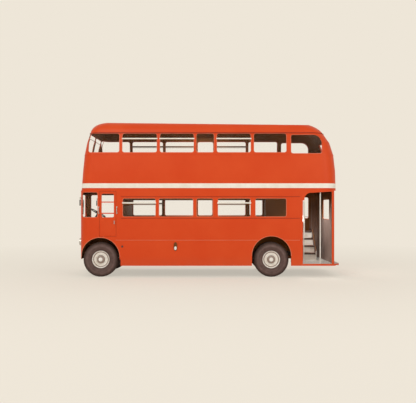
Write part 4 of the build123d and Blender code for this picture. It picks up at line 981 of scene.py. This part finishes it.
wheelTrim = {
    "nuts": 8, "nutRadius": 0.146,
    "front": {"nutFace": 1.072, "hub": 1.150, "flange": 1.103},
    "rear": {"nutFace": 1.102, "hub": 1.155, "flange": 1.140},
    "nutParts": [(0.0, 0.008, 0.023, 18), (0.008, 0.026, 0.0185, 6), (0.026, 0.036, 0.0095, 12)],
    "rings": [
        ("flange", [(0.242, -0.004), (0.242, 0.004), (0.236, 0.006), (0.228, -0.008), (0.232, -0.014)]),
        ("nutFace", [(0.124, -0.006), (0.124, 0.006), (0.118, 0.010), (0.112, 0.006), (0.112, -0.006)]),
        ("hub", [(0.075, -0.016), (0.075, -0.002), (0.070, 0.002), (0.064, 0.001), (0.062, -0.010)]),
        ("hub", [(0.048, -0.004), (0.045, 0.008), (0.036, 0.011), (0.012, 0.012), (0.012, -0.004)]),
    ],
}


def makeWheelTrim(name, axleName, side, body):
    size, axle = wheelTrim[axleName], axles[axleName]
    centre = Vector((axle["x"], 0, axle["z"]))
    bm = bmesh.new()
    for count in range(wheelTrim["nuts"]):
        angle = 2 * math.pi * (count + 0.5) / wheelTrim["nuts"]
        spot = centre + Vector((math.cos(angle), 0, math.sin(angle))) * wheelTrim["nutRadius"]
        foot = spot + Vector((0, side * (size["nutFace"] - 0.004), 0))
        for start, end, radius, sides in wheelTrim["nutParts"]:
            addRod(bm, foot + Vector((0, side * start, 0)), foot + Vector((0, side * end, 0)), radius, sides)
    for base, ring in wheelTrim["rings"]:
        points = [(radius, size[base] + across) for radius, across in ring]
        turnProfile(bm, points, centre, (0, 1, 0), side, 48)
    capStart = centre + Vector((0, side * (size["hub"] - 0.004), 0))
    addRod(bm, capStart, centre + Vector((0, side * (size["hub"] + 0.012), 0)), 0.0125, 16)
    closeUp(bm)
    keep(name, bm, axleName + "Rim", body, "rim_paint", 35)


for side, label in ((-1, "left"), (1, "right")):
    title = label.capitalize()
    makeTyre("frontTyre" + title, "front", side, "front_tyre_" + label, "front_wheel_" + label)
    makeTyre("rearTyres" + title, "rear", side, "rear_tyres_" + label, "rear_wheels_" + label)
    makeWheelTrim("frontHubTrim" + title, "front", side, "front_wheel_" + label)
    makeWheelTrim("rearHubTrim" + title, "rear", side, "rear_wheels_" + label)
print("wheels dressed")


# Lamps

headlamps = {
    "z": 0.978, "radius": 0.105, "front": -3.694, "near": {"y": -0.86, "rear": -3.642},
    "off": {"y": 0.9, "rear": -3.65},
}
shells = bmesh.new()
lenses = bmesh.new()
face, radius = -headlamps["front"], headlamps["radius"]
for key in ("near", "off"):
    lamp = headlamps[key]
    back = -lamp["rear"]
    spot = (0, lamp["y"], headlamps["z"])
    shell = [
        (0.03, back), (radius - 0.004, back), (radius - 0.002, back + 0.02), (radius - 0.006, face - 0.014),
        (radius, face - 0.012), (radius, face - 0.002), (radius - 0.008, face + 0.003),
        (radius - 0.016, face - 0.004), (0.03, face - 0.006),
    ]
    turnProfile(shells, shell, spot, (-1, 0, 0), 1, 40)
    lens = [
        (0.0, face - 0.008), (radius - 0.013, face - 0.008), (radius - 0.015, face - 0.003),
        (0.06, face + 0.002), (0.0, face + 0.005),
    ]
    turnProfile(lenses, lens, spot, (-1, 0, 0), 1, 40, closed=False)
closeUp(shells)
closeUp(lenses)
headShells = keep("headlampShells", shells, "brightMetal", "bus", "bright_metal", 35)
keep("headlampLenses", lenses, "clearLens", "bus", "lamp", 50)

rearLamps = {"y": 0.98, "z": 1.15, "face": 3.537}
shells = bmesh.new()
lenses = bmesh.new()
face = rearLamps["face"]
for side in (-1, 1):
    spot = (0, side * rearLamps["y"], rearLamps["z"])
    ring = [
        (0.012, face), (0.045, face), (0.045, face + 0.016), (0.040, face + 0.020), (0.035, face + 0.015),
        (0.012, face + 0.015),
    ]
    turnProfile(shells, ring, spot, (1, 0, 0), 1, 32)
    lens = [
        (0.0, face + 0.010), (0.036, face + 0.010), (0.034, face + 0.018), (0.018, face + 0.024),
        (0.0, face + 0.026),
    ]
    turnProfile(lenses, lens, spot, (1, 0, 0), 1, 32, closed=False)
closeUp(shells)
closeUp(lenses)
keep("rearLampShells", shells, "brightMetal", "bus", "bright_metal", 35)
keep("rearLampLenses", lenses, "redLens", "bus", "lamp", 50)
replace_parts(headShells, "lamps")


def addOval(bm, centreX, centreZ, halfWide, halfHigh, y0, y1, bevel):
    place = Matrix.Translation((centreX, y0, centreZ)) @ Matrix.Rotation(math.pi / 2, 4, "X")
    place = place @ Matrix.Diagonal((halfWide, halfHigh, 1, 1))
    made = bmesh.ops.create_circle(bm, cap_ends=True, segments=32, radius=1.0, matrix=place)["verts"]
    face = next(face for face in made[0].link_faces if all(vert in made for vert in face.verts))
    grown = bmesh.ops.extrude_face_region(bm, geom=[face])["geom"]
    top = [item for item in grown if isinstance(item, bmesh.types.BMVert)]
    bmesh.ops.translate(bm, verts=top, vec=(0, y1 - y0, 0))
    cap = next(item for item in grown if isinstance(item, bmesh.types.BMFace))
    roundEdges(bm, list(cap.edges), bevel, 3)


sideLamps = {
    "x": -0.9375, "skin": 1.22,
    "housing": {
        "z": 0.862, "halfWide": 0.052, "halfHigh": 0.122, "foot": -0.002, "top": 0.020, "bevel": 0.006,
    },
    "lens": {"z": 0.816, "halfWide": 0.036, "halfHigh": 0.052, "foot": 0.018, "top": 0.026, "bevel": 0.003},
}
housings = bmesh.new()
lenses = bmesh.new()
for side in (-1, 1):
    for bm, key in ((housings, "housing"), (lenses, "lens")):
        size = sideLamps[key]
        foot, top = side * (sideLamps["skin"] + size["foot"]), side * (sideLamps["skin"] + size["top"])
        addOval(bm, sideLamps["x"], size["z"], size["halfWide"], size["halfHigh"], foot, top, size["bevel"])
closeUp(housings)
closeUp(lenses)
keep("sideLampHousings", housings, "liningPaint", "bus", "black_plastic", 35)
keep("sideLampLenses", lenses, "clearLens", "bus", "lamp", 35)
print("lamps made")


# Small fittings on the outside

filler = {"x": -2.432, "z": 0.862, "skin": -1.218, "rim": (0.028, 0.008, 24), "cap": (0.01736, 0.016, 20)}
bm = bmesh.new()
foot = Vector((filler["x"], filler["skin"], filler["z"]))
for radius, proud, sides in (filler["rim"], filler["cap"]):
    addRod(bm, foot, foot - Vector((0, proud, 0)), radius, sides)
closeUp(bm)
keep("fillerCap", bm, "gasketRubber", "bus", "black_plastic")

plates = {
    "front": {"back": -3.604, "face": -3.614, "y0": -0.225, "y1": 0.295, "z0": 0.735, "z1": 0.845},
    "rear": {"back": 3.537, "face": 3.549, "y0": 0.28, "y1": 0.80, "z0": 0.98, "z1": 1.09},
    "margin": 0.008, "lap": 0.004, "rim": 0.002,
}
panels = bmesh.new()
borders = bmesh.new()
for key in ("front", "rear"):
    plate = plates[key]
    lowX, highX = sorted((plate["back"], plate["face"]))
    addBlock(panels, (lowX, plate["y0"], plate["z0"]), (highX, plate["y1"], plate["z1"]), 0.003)
    lowX, highX = sorted((plate["back"], plate["face"] + math.copysign(plates["rim"], plate["face"])))
    addBorder(borders, lowX, highX, plate, plates["margin"], plates["lap"], 0.002)
keep("numberPlatesBlank", panels, "plateBlank", "bus", "rail_enamel")
keep("plateFrames", borders, "blackPlastic", "bus", "black_plastic")

grabHandles = {"x": [-3.095, -2.585], "z": [1.80, 1.97], "y": -1.252, "radius": 0.009}
bm = bmesh.new()
for x in grabHandles["x"]:
    y, radius = grabHandles["y"], grabHandles["radius"]
    addRod(bm, (x, y, grabHandles["z"][0]), (x, y, grabHandles["z"][1]), radius)
    for z in grabHandles["z"]:
        addBall(bm, (x, y, z), radius)
        addRod(bm, (x, -1.216, z), (x, y, z), 0.0085)
        addRod(bm, (x, -1.218, z), (x, -1.224, z), 0.019, 20)
keep("cabGrabHandles", bm, "brightMetal", "bus", "bright_metal", 35)

wiper = {
    "pivot": [(-3.638, -0.70, 2.366), (-3.664, -0.70, 2.366)], "armStart": (-3.657, -0.70, 2.366),
    "armEnd": (-3.652, -0.63, 1.97), "clip": (-3.643, -0.63, 1.97),
    "blade": [(-3.643, -0.66, 1.76), (-3.643, -0.60, 2.18)],
}
bm = bmesh.new()
addRod(bm, *wiper["pivot"], 0.014, 20)
addRod(bm, wiper["armStart"], wiper["armEnd"], 0.007)
addRod(bm, wiper["armEnd"], wiper["clip"], 0.008)
addRod(bm, *wiper["blade"], 0.009)
keep("windscreenWiper", bm, "blackPlastic", "bus", "black_plastic", 35)

louvres = {
    "count": 11, "front": -3.30, "pitch": 0.055, "half": 0.013, "y0": 0.392, "y1": 0.408, "z0": 1.21,
    "z1": 1.37,
}
bm = bmesh.new()
for count in range(louvres["count"]):
    x = louvres["front"] + count * louvres["pitch"]
    low = (x - louvres["half"], louvres["y0"], louvres["z0"])
    addBlock(bm, low, (x + louvres["half"], louvres["y1"], louvres["z1"]), 0.006)
keep("bonnetLouvres", bm, "bodyPaint", "bonnet", "paint_red")

railBolts = {
    "count": 18, "front": -2.4, "pitch": 0.27, "y": 0.468, "z": [0.60, 0.665], "radius": 0.011, "high": 0.008,
}
bm = bmesh.new()
for side in (-1, 1):
    for count in range(railBolts["count"]):
        for z in railBolts["z"]:
            foot = Vector((railBolts["front"] + count * railBolts["pitch"], side * railBolts["y"], z))
            addRod(bm, foot, foot + Vector((0, side * railBolts["high"], 0)), railBolts["radius"], 6)
keep("chassisBolts", bm, "chassisPaint", "bus", "chassis_steel")

# Two blank destination boxes in frames under the front windows, leaning back with the panel
signs = {
    "frontBlindBox": {"x": -3.566, "slope": 0.088, "y0": -0.62, "y1": 0.62, "z0": 3.06, "z1": 3.36},
    "frontNumberBox": {"x": -3.592, "slope": 0.077, "y0": -0.62, "y1": 0.62, "z0": 2.72, "z1": 3.0},
}
for name, box in signs.items():
    panel = bmesh.new()
    border = bmesh.new()
    addBlock(panel, (-0.006, box["y0"], box["z0"]), (0.006, box["y1"], box["z1"]), 0.002)
    addBorder(border, -0.014, 0.008, box, 0.03, 0.002, 0.005)
    middle = (box["z0"] + box["z1"]) / 2
    for vert in panel.verts[:] + border.verts[:]:
        vert.co.x += box["x"] + (vert.co.z - middle) * box["slope"]
    keep(name, panel, "blindBlank", "bus", "black_plastic")
    keep(name + "Frame", border, "bodyPaint", "bus", "paint_red")
print("fittings made")


# Inside: nosings on the lower steps, a screen board behind the front partition, coves, ceiling lamps and dash

stairs = {"x0": 2.854, "x1": 3.206, "firstY": -0.05, "going": 0.23, "platform": 0.375, "rise": 0.2125}
nosing = {
    "steps": 4, "front": 0.012, "rear": 0.006, "drop": 0.042, "top": 0.004, "lap": 0.001, "tread": 0.045,
}
bm = bmesh.new()
for step in range(nosing["steps"]):
    y = stairs["firstY"] + step * stairs["going"]
    edgeZ = stairs["platform"] + (step + 1) * stairs["rise"]
    topZ = edgeZ + nosing["top"]
    low = (stairs["x0"], y - nosing["front"], edgeZ - nosing["drop"])
    addBlock(bm, low, (stairs["x1"], y + nosing["rear"], topZ), 0.004)
    low = (stairs["x0"], y - nosing["rear"], edgeZ - nosing["lap"])
    addBlock(bm, low, (stairs["x1"], y + nosing["tread"], topZ), 0.001)
keep("stepNosings", bm, "gasketRubber", "bus", "black_plastic")

screen = {"low": (-2.437, -1.10, 1.53), "high": (-2.430, 1.10, 2.23)}
bm = bmesh.new()
addBlock(bm, screen["low"], screen["high"], 0.002)
keep("partitionScreen", bm, "liningPaint", "bus", "bulkhead_panel")

coves = {"front": -2.425, "z0": 2.185, "z1": 2.275, "runs": [(-1.192, -1.150, 2.25), (1.150, 1.192, 1.72)]}
bm = bmesh.new()
for y0, y1, rear in coves["runs"]:
    addBlock(bm, (coves["front"], y0, coves["z0"]), (rear, y1, coves["z1"]), 0.008)
keep("ceilingCoves", bm, "liningPaint", "bus", "bulkhead_panel")

ceilingLamps = {
    "x": [-2.0, -1.0, 0.0, 1.0, 2.0], "top": 2.441, "rimZ": 2.432, "rim": 0.072,
    "bowlTop": 2.433, "bowlZ": 2.414, "bowl": 0.060, "bowlEnd": 0.044,
}
bm = bmesh.new()
for x in ceilingLamps["x"]:
    addRod(bm, (x, 0, ceilingLamps["top"]), (x, 0, ceilingLamps["rimZ"]), ceilingLamps["rim"], 28)
    bowlTop, bowlEnd = (x, 0, ceilingLamps["bowlTop"]), (x, 0, ceilingLamps["bowlZ"])
    addRod(bm, bowlTop, bowlEnd, ceilingLamps["bowl"], 28, ceilingLamps["bowlEnd"])
keep("ceilingLamps", bm, "clearLens", "bus", "lamp", 35)

dash = {
    "front": -3.606, "y0": -0.93, "y1": -0.385,
    "body": {"rear": -3.520, "z0": 1.54, "z1": 1.676, "bevel": 0.012},
    "top": {"rear": -3.490, "z0": 1.668, "z1": 1.692, "bevel": 0.008},
    "dialZ": 1.606, "dialRim": 0.006, "rimX": (-3.524, -3.512), "dialX": (-3.514, -3.510),
    "dials": [(-0.80, 0.034), (-0.66, 0.048), (-0.52, 0.034)],
}
board = bmesh.new()
dials = bmesh.new()
for row in (dash["body"], dash["top"]):
    low, high = (dash["front"], dash["y0"], row["z0"]), (row["rear"], dash["y1"], row["z1"])
    addBlock(board, low, high, row["bevel"], 3)
for y, radius in dash["dials"]:
    rimEnds = [(x, y, dash["dialZ"]) for x in dash["rimX"]]
    addRod(board, *rimEnds, radius + dash["dialRim"], 28)
    dialEnds = [(x, y, dash["dialZ"]) for x in dash["dialX"]]
    addRod(dials, *dialEnds, radius, 28)
keep("cabDash", board, "blackPlastic", "bus", "black_plastic", 35)
keep("cabDialsBlank", dials, "plateBlank", "bus", "rail_enamel", 35)
print("inside fittings made")


# Seats: tubular frames with padded cushions

cushionShape = {
    "pull": 0.018, "pullSide": 0.03, "cuts": 11, "crownStart": 0.62, "channelDeep": 0.006,
    "edgePull": 0.045, "edgeStart": 0.55,
}


def cushionMesh(size, crownHigh, channels):
    # A crowned closed form whose sides pull in between its corners, with sewn channels on its crowned face
    width, depth, height = size
    bm = bmesh.new()
    bmesh.ops.create_cube(bm, size=1.0)
    bmesh.ops.subdivide_edges(bm, edges=bm.edges[:], cuts=cushionShape["cuts"], use_grid_fill=True)
    for vert in bm.verts:
        u, v, w = vert.co.x * 2, vert.co.y * 2, vert.co.z * 2
        pull = 1 - cushionShape["pull"] * (1 - u ** 4) * (1 - abs(w))
        pullSide = 1 - cushionShape["pullSide"] * (1 - v ** 4) * (1 - abs(w))
        roundTop = (1 - u ** 6) * (1 - v ** 6)
        lift = 0.0
        if w > 0.5:
            wave = abs(math.sin(math.pi * channels * u / 2))
            lift = crownHigh * (roundTop ** 0.6 - cushionShape["crownStart"])
            lift -= cushionShape["channelDeep"] * (1 - wave) ** 3 * roundTop
        edge = 1 - cushionShape["edgePull"] * max(0.0, abs(w) - cushionShape["edgeStart"])
        vert.co.x = u / 2 * width * pullSide * edge
        vert.co.y = v / 2 * depth * pull * edge
        vert.co.z = w / 2 * height + lift
    bmesh.ops.smooth_vert(bm, verts=bm.verts, factor=0.5, use_axis_x=True, use_axis_y=True, use_axis_z=True)
    closeUp(bm)
    return bm


def placeCushion(name, size, crownHigh, channels, place):
    bm = cushionMesh(size, crownHigh, channels)
    bmesh.ops.transform(bm, matrix=place, verts=bm.verts)
    keep(name, bm, "seatCloth", "bus", "seat_moquette", 0)


quarterTurn = {axis: Matrix.Rotation(math.pi / 2, 4, axis) for axis in "XZ"}
seatSizes = {
    "width": 0.82, "seatDeep": 0.395, "seatThick": 0.085, "backThick": 0.05, "seatCrown": 0.018,
    "backCrown": 0.012, "channels": 4, "tube": 0.012, "leg": 0.015,
}
evenRows = [-2.05, -1.33, -0.61, 0.11, 0.83]
decks = {
    "lower": {"floor": 0.74, "seat": 1.06, "backTop": 1.64, "out": 1.17, "left": evenRows, "right": evenRows},
    "upper": {
        "floor": 2.5, "seat": 2.82, "backTop": 3.44, "out": 1.16,
        "left": [-3.08, -2.36, -1.64, -0.92, -0.2, 0.52, 1.24, 1.96],
        "right": [-3.08, -2.36, -1.64, -0.92, -0.2, 0.52, 1.16],
    },
}
seatFrames = {}
for deckName, deck in decks.items():
    frames = bmesh.new()
    floorZ, seatZ, railZ = deck["floor"], deck["seat"] + 0.002, deck["backTop"] - 0.02
    backSize = (seatSizes["width"], deck["backTop"] - deck["seat"] - 0.11, seatSizes["backThick"])
    for side, key in ((-1, "left"), (1, "right")):
        middleY = side * (deck["out"] - 0.415)
        legYs = (side * 0.435, side * (deck["out"] - 0.075))
        backYs = (side * (deck["out"] - 0.825), side * (deck["out"] - 0.005))
        for count, x in enumerate(deck[key]):
            title = deckName + "Seat" + key.capitalize() + str(count + 1)
            placeCushion(
                title + "Cushion", (seatSizes["width"], seatSizes["seatDeep"], seatSizes["seatThick"]),
                seatSizes["seatCrown"], seatSizes["channels"],
                Matrix.Translation((x + 0.20, middleY, deck["seat"] + 0.045)) @ quarterTurn["Z"],
            )
            backMiddle = (deck["seat"] + 0.09 + deck["backTop"]) / 2
            place = Matrix.Translation((x + 0.435, middleY, backMiddle)) @ quarterTurn["Z"] @ quarterTurn["X"]
            placeCushion(title + "Back", backSize, seatSizes["backCrown"], seatSizes["channels"], place)
            # Two legs with feet, side rails, and a grab rail over the back
            legX, backX = x + 0.21, x + 0.455
            for y in legYs:
                addRod(frames, (legX, y, floorZ), (legX, y, deck["seat"] + 0.005), seatSizes["leg"])
                addRod(frames, (legX, y, floorZ), (legX, y, floorZ + 0.01), 0.034, 20)
                addRod(frames, (x + 0.02, y, seatZ), (backX, y, seatZ), seatSizes["tube"])
                addBall(frames, (backX, y, seatZ), 0.013)
            for y in backYs:
                addRod(frames, (backX, y, seatZ), (backX, y, railZ), seatSizes["tube"])
                addBall(frames, (backX, y, railZ), 0.0125)
            for z in (railZ, seatZ):
                addRod(frames, (backX, backYs[0], z), (backX, backYs[1], z), seatSizes["tube"])
    seatFrames[deckName] = keep(deckName + "SeatFrames", frames, "railEnamel", "bus", "bright_metal", 35)

# Benches over the rear wheels, with a board under each, and the driver's seat
benches = {
    "leftBench": {"x0": 1.33, "x1": 2.595, "wall": -1, "boardRear": 2.59},
    "rightBench": {"x0": 1.33, "x1": 1.765, "wall": 1, "boardRear": 1.76},
    "seatY": 0.9675, "seatZ": 1.212, "backY": 1.137, "backZ": 1.448, "gap": 0.01,
    "boardFront": 1.34, "boardY": (0.77, 1.17), "boardZ": (1.160, 1.172),
}
for name in ("leftBench", "rightBench"):
    bench = benches[name]
    length = bench["x1"] - bench["x0"] - benches["gap"]
    middleX = (bench["x0"] + bench["x1"]) / 2
    seatPlace = Matrix.Translation((middleX, bench["wall"] * benches["seatY"], benches["seatZ"]))
    placeCushion(name + "Cushion", (length, 0.40, 0.085), 0.018, 4, seatPlace)
    backPlace = Matrix.Translation((middleX, bench["wall"] * benches["backY"], benches["backZ"]))
    backPlace = backPlace @ Matrix.Rotation(bench["wall"] * math.pi / 2, 4, "X")
    placeCushion(name + "Back", (length, 0.36, 0.055), 0.012, 4, backPlace)

driverSeat = {
    "y": -0.61, "seatX": -2.82, "seatZ": 1.292, "backX": -2.585, "backZ": 1.458,
    "foot": [(-2.9, -0.7, 0.91), (-2.7, -0.52, 0.93)], "pan": [(-3.0, -0.8, 1.235), (-2.62, -0.42, 1.252)],
    "post": [(-2.8, -0.61, 0.91), (-2.8, -0.61, 1.245)], "stayY": [-0.80, -0.42], "stayX": (-2.62, -2.555),
    "stayZ": (1.245, 1.40),
}
seatPlace = Matrix.Translation((driverSeat["seatX"], driverSeat["y"], driverSeat["seatZ"])) @ quarterTurn["Z"]
placeCushion("driverCushion", (0.43, 0.39, 0.085), 0.018, 3, seatPlace)
backPlace = Matrix.Translation((driverSeat["backX"], driverSeat["y"], driverSeat["backZ"]))
placeCushion("driverBack", (0.43, 0.37, 0.065), 0.014, 3, backPlace @ quarterTurn["Z"] @ quarterTurn["X"])
bm = bmesh.new()
addBlock(bm, *driverSeat["foot"], 0.004)
addRod(bm, *driverSeat["post"], 0.045, 24)
addBlock(bm, *driverSeat["pan"], 0.005)
for y in driverSeat["stayY"]:
    stay = [(x, y, z) for x, z in zip(driverSeat["stayX"], driverSeat["stayZ"])]
    addRod(bm, *stay, 0.011)
for name in ("leftBench", "rightBench"):
    bench = benches[name]
    y0, y1 = sorted(bench["wall"] * y for y in benches["boardY"])
    low = (benches["boardFront"], y0, benches["boardZ"][0])
    addBlock(bm, low, (bench["boardRear"], y1, benches["boardZ"][1]), 0.004)
keep("driverSeatFrame", bm, "chassisPaint", "bus", "chassis_steel", 35)
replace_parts(seatFrames["lower"], "lower_seats")
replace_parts(seatFrames["upper"], "upper_seats")
print("seats made")


# Stage, light and camera

stageColor = fromScreen(238, 230, 216)
floorFade = {"half": 300.0, "near": 5.0, "far": 16.0, "nearShare": 0.58}


def stageMaterial(name, shade):
    # The lit floor gives way to the plain background colour with distance, for camera rays only
    material, tree, shader = startMaterial(name, Roughness=0.9, Specular_IOR_Level=0.1)
    paint = useEffect(
        tree, "mottle", Base=shade, Second=shade, Patch_Scale=0.3, Grain_Scale=3.0, Rough_Low=0.85,
        Rough_High=0.95,
    )
    setSockets(tree, shader, Base_Color=paint["Color"])
    distance = lengthOf(tree, objectPlace(tree))
    share = mapRange(tree, distance, floorFade["near"], floorFade["far"], floorFade["nearShare"], 1.0)
    path = addNode(tree, "ShaderNodeLightPath").outputs
    plain = addNode(tree, "ShaderNodeEmission")
    setSockets(tree, plain, Color=shade)
    mask = mathOf(tree, "MULTIPLY", share, path["Is Camera Ray"])
    blended = mixShaders(tree, mask, shader.outputs["BSDF"], plain.outputs["Emission"])
    setSockets(tree, tree.nodes["Material Output"], Surface=blended)
    return material


def mixShaders(tree, share, first, second):
    mix = addNode(tree, "ShaderNodeMixShader")
    for socket, source in zip(mix.inputs, (share, first, second)):
        feed(tree, socket, source)
    return mix.outputs["Shader"]


bm = bmesh.new()
bmesh.ops.create_grid(bm, x_segments=1, y_segments=1, size=floorFade["half"])
mesh = bpy.data.meshes.new("studioFloor")
bm.to_mesh(mesh)
bm.free()
floor = bpy.data.objects.new("studioFloor", mesh)
scene.collection.objects.link(floor)
mesh.materials.append(stageMaterial("studioFloorPaint", stageColor))
floor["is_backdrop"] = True

world = bpy.data.worlds.new("studio")
scene.world = world
world.use_nodes = True
tree = world.node_tree
lighting = tree.nodes["Background"]
setSockets(tree, lighting, Color=(1.0, 0.985, 0.96, 1.0), Strength=0.66)
backdrop = addNode(tree, "ShaderNodeBackground")
setSockets(tree, backdrop, Color=stageColor, Strength=1.0)
path = addNode(tree, "ShaderNodeLightPath").outputs
mirrored = mathOf(tree, "MAXIMUM", path["Is Glossy Ray"], path["Is Transmission Ray"])
seen = mathOf(tree, "MAXIMUM", path["Is Camera Ray"], mirrored)
surface = mixShaders(tree, seen, lighting.outputs[0], backdrop.outputs[0])
setSockets(tree, tree.nodes["World Output"], Surface=surface)

lights = {
    "keyLight": {"place": (-7.0, -14.0, 11.0), "target": (0, 0, 2), "size": 9.0, "power": 740.0},
    "fillLight": {"place": (9.0, -12.0, 6.0), "target": (0, 0, 2), "size": 9.0, "power": 350.0},
    "backLight": {"place": (0.0, 14.0, 9.0), "target": (0, 0, 2), "size": 9.0, "power": 350.0},
    "platformLight": {
        "place": (2.96, -0.30, 2.40), "target": (3.02, 0.0, 0.4), "size": 0.6, "power": 17.0, "spread": 120.0,
    },
    "rearSaloonLight": {"place": (2.0, -0.6, 2.38), "target": (2.0, 0.6, 1.9), "size": 0.7, "power": 6.5},
    "lowerDeckLight": {"place": (-0.3, 0.0, 2.4), "target": (-0.3, 0.0, 0.7), "size": 1.4, "power": 30.0},
    "upperDeckLight": {"place": (-0.2, 0.0, 4.2), "target": (-0.2, 0.0, 2.5), "size": 1.6, "power": 34.0},
    "upperCeilingLight": {
        "place": (-0.1, 0.0, 3.42), "target": (-0.1, 0.0, 4.4), "size": 6.0, "width": 1.4, "power": 16.0,
    },
}
for name, row in lights.items():
    data = bpy.data.lights.new(name, "AREA")
    data.energy = row["power"]
    data.size = row["size"]
    if "width" in row:
        data.shape = "RECTANGLE"
        data.size_y = row["width"]
    data.spread = math.radians(row.get("spread", 180.0))
    lamp = bpy.data.objects.new(name, data)
    scene.collection.objects.link(lamp)
    lamp.location = row["place"]
    lamp.rotation_euler = (Vector(row["target"]) - Vector(row["place"])).to_track_quat("-Z", "Y").to_euler()

cameraView = {"place": (-0.024, -18.2, 1.98), "lens": 52.33, "shift": 0.0125}
camera = bpy.data.objects.new("camera", bpy.data.cameras.new("camera"))
scene.collection.objects.link(camera)
camera.location = cameraView["place"]
camera.rotation_euler = (math.pi / 2, 0, 0)
camera.data.lens = cameraView["lens"]
camera.data.sensor_width = 36.0
camera.data.shift_y = cameraView["shift"]
camera.data.clip_end = 800.0
scene.camera = camera
scene.view_settings.view_transform = "Standard"
print("stage, lights and camera made")

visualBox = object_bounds()
boxes = {"cad": cadBox, "visual": visualBox}
{name: [list(corner) for corner in box] for name, box in boxes.items()}
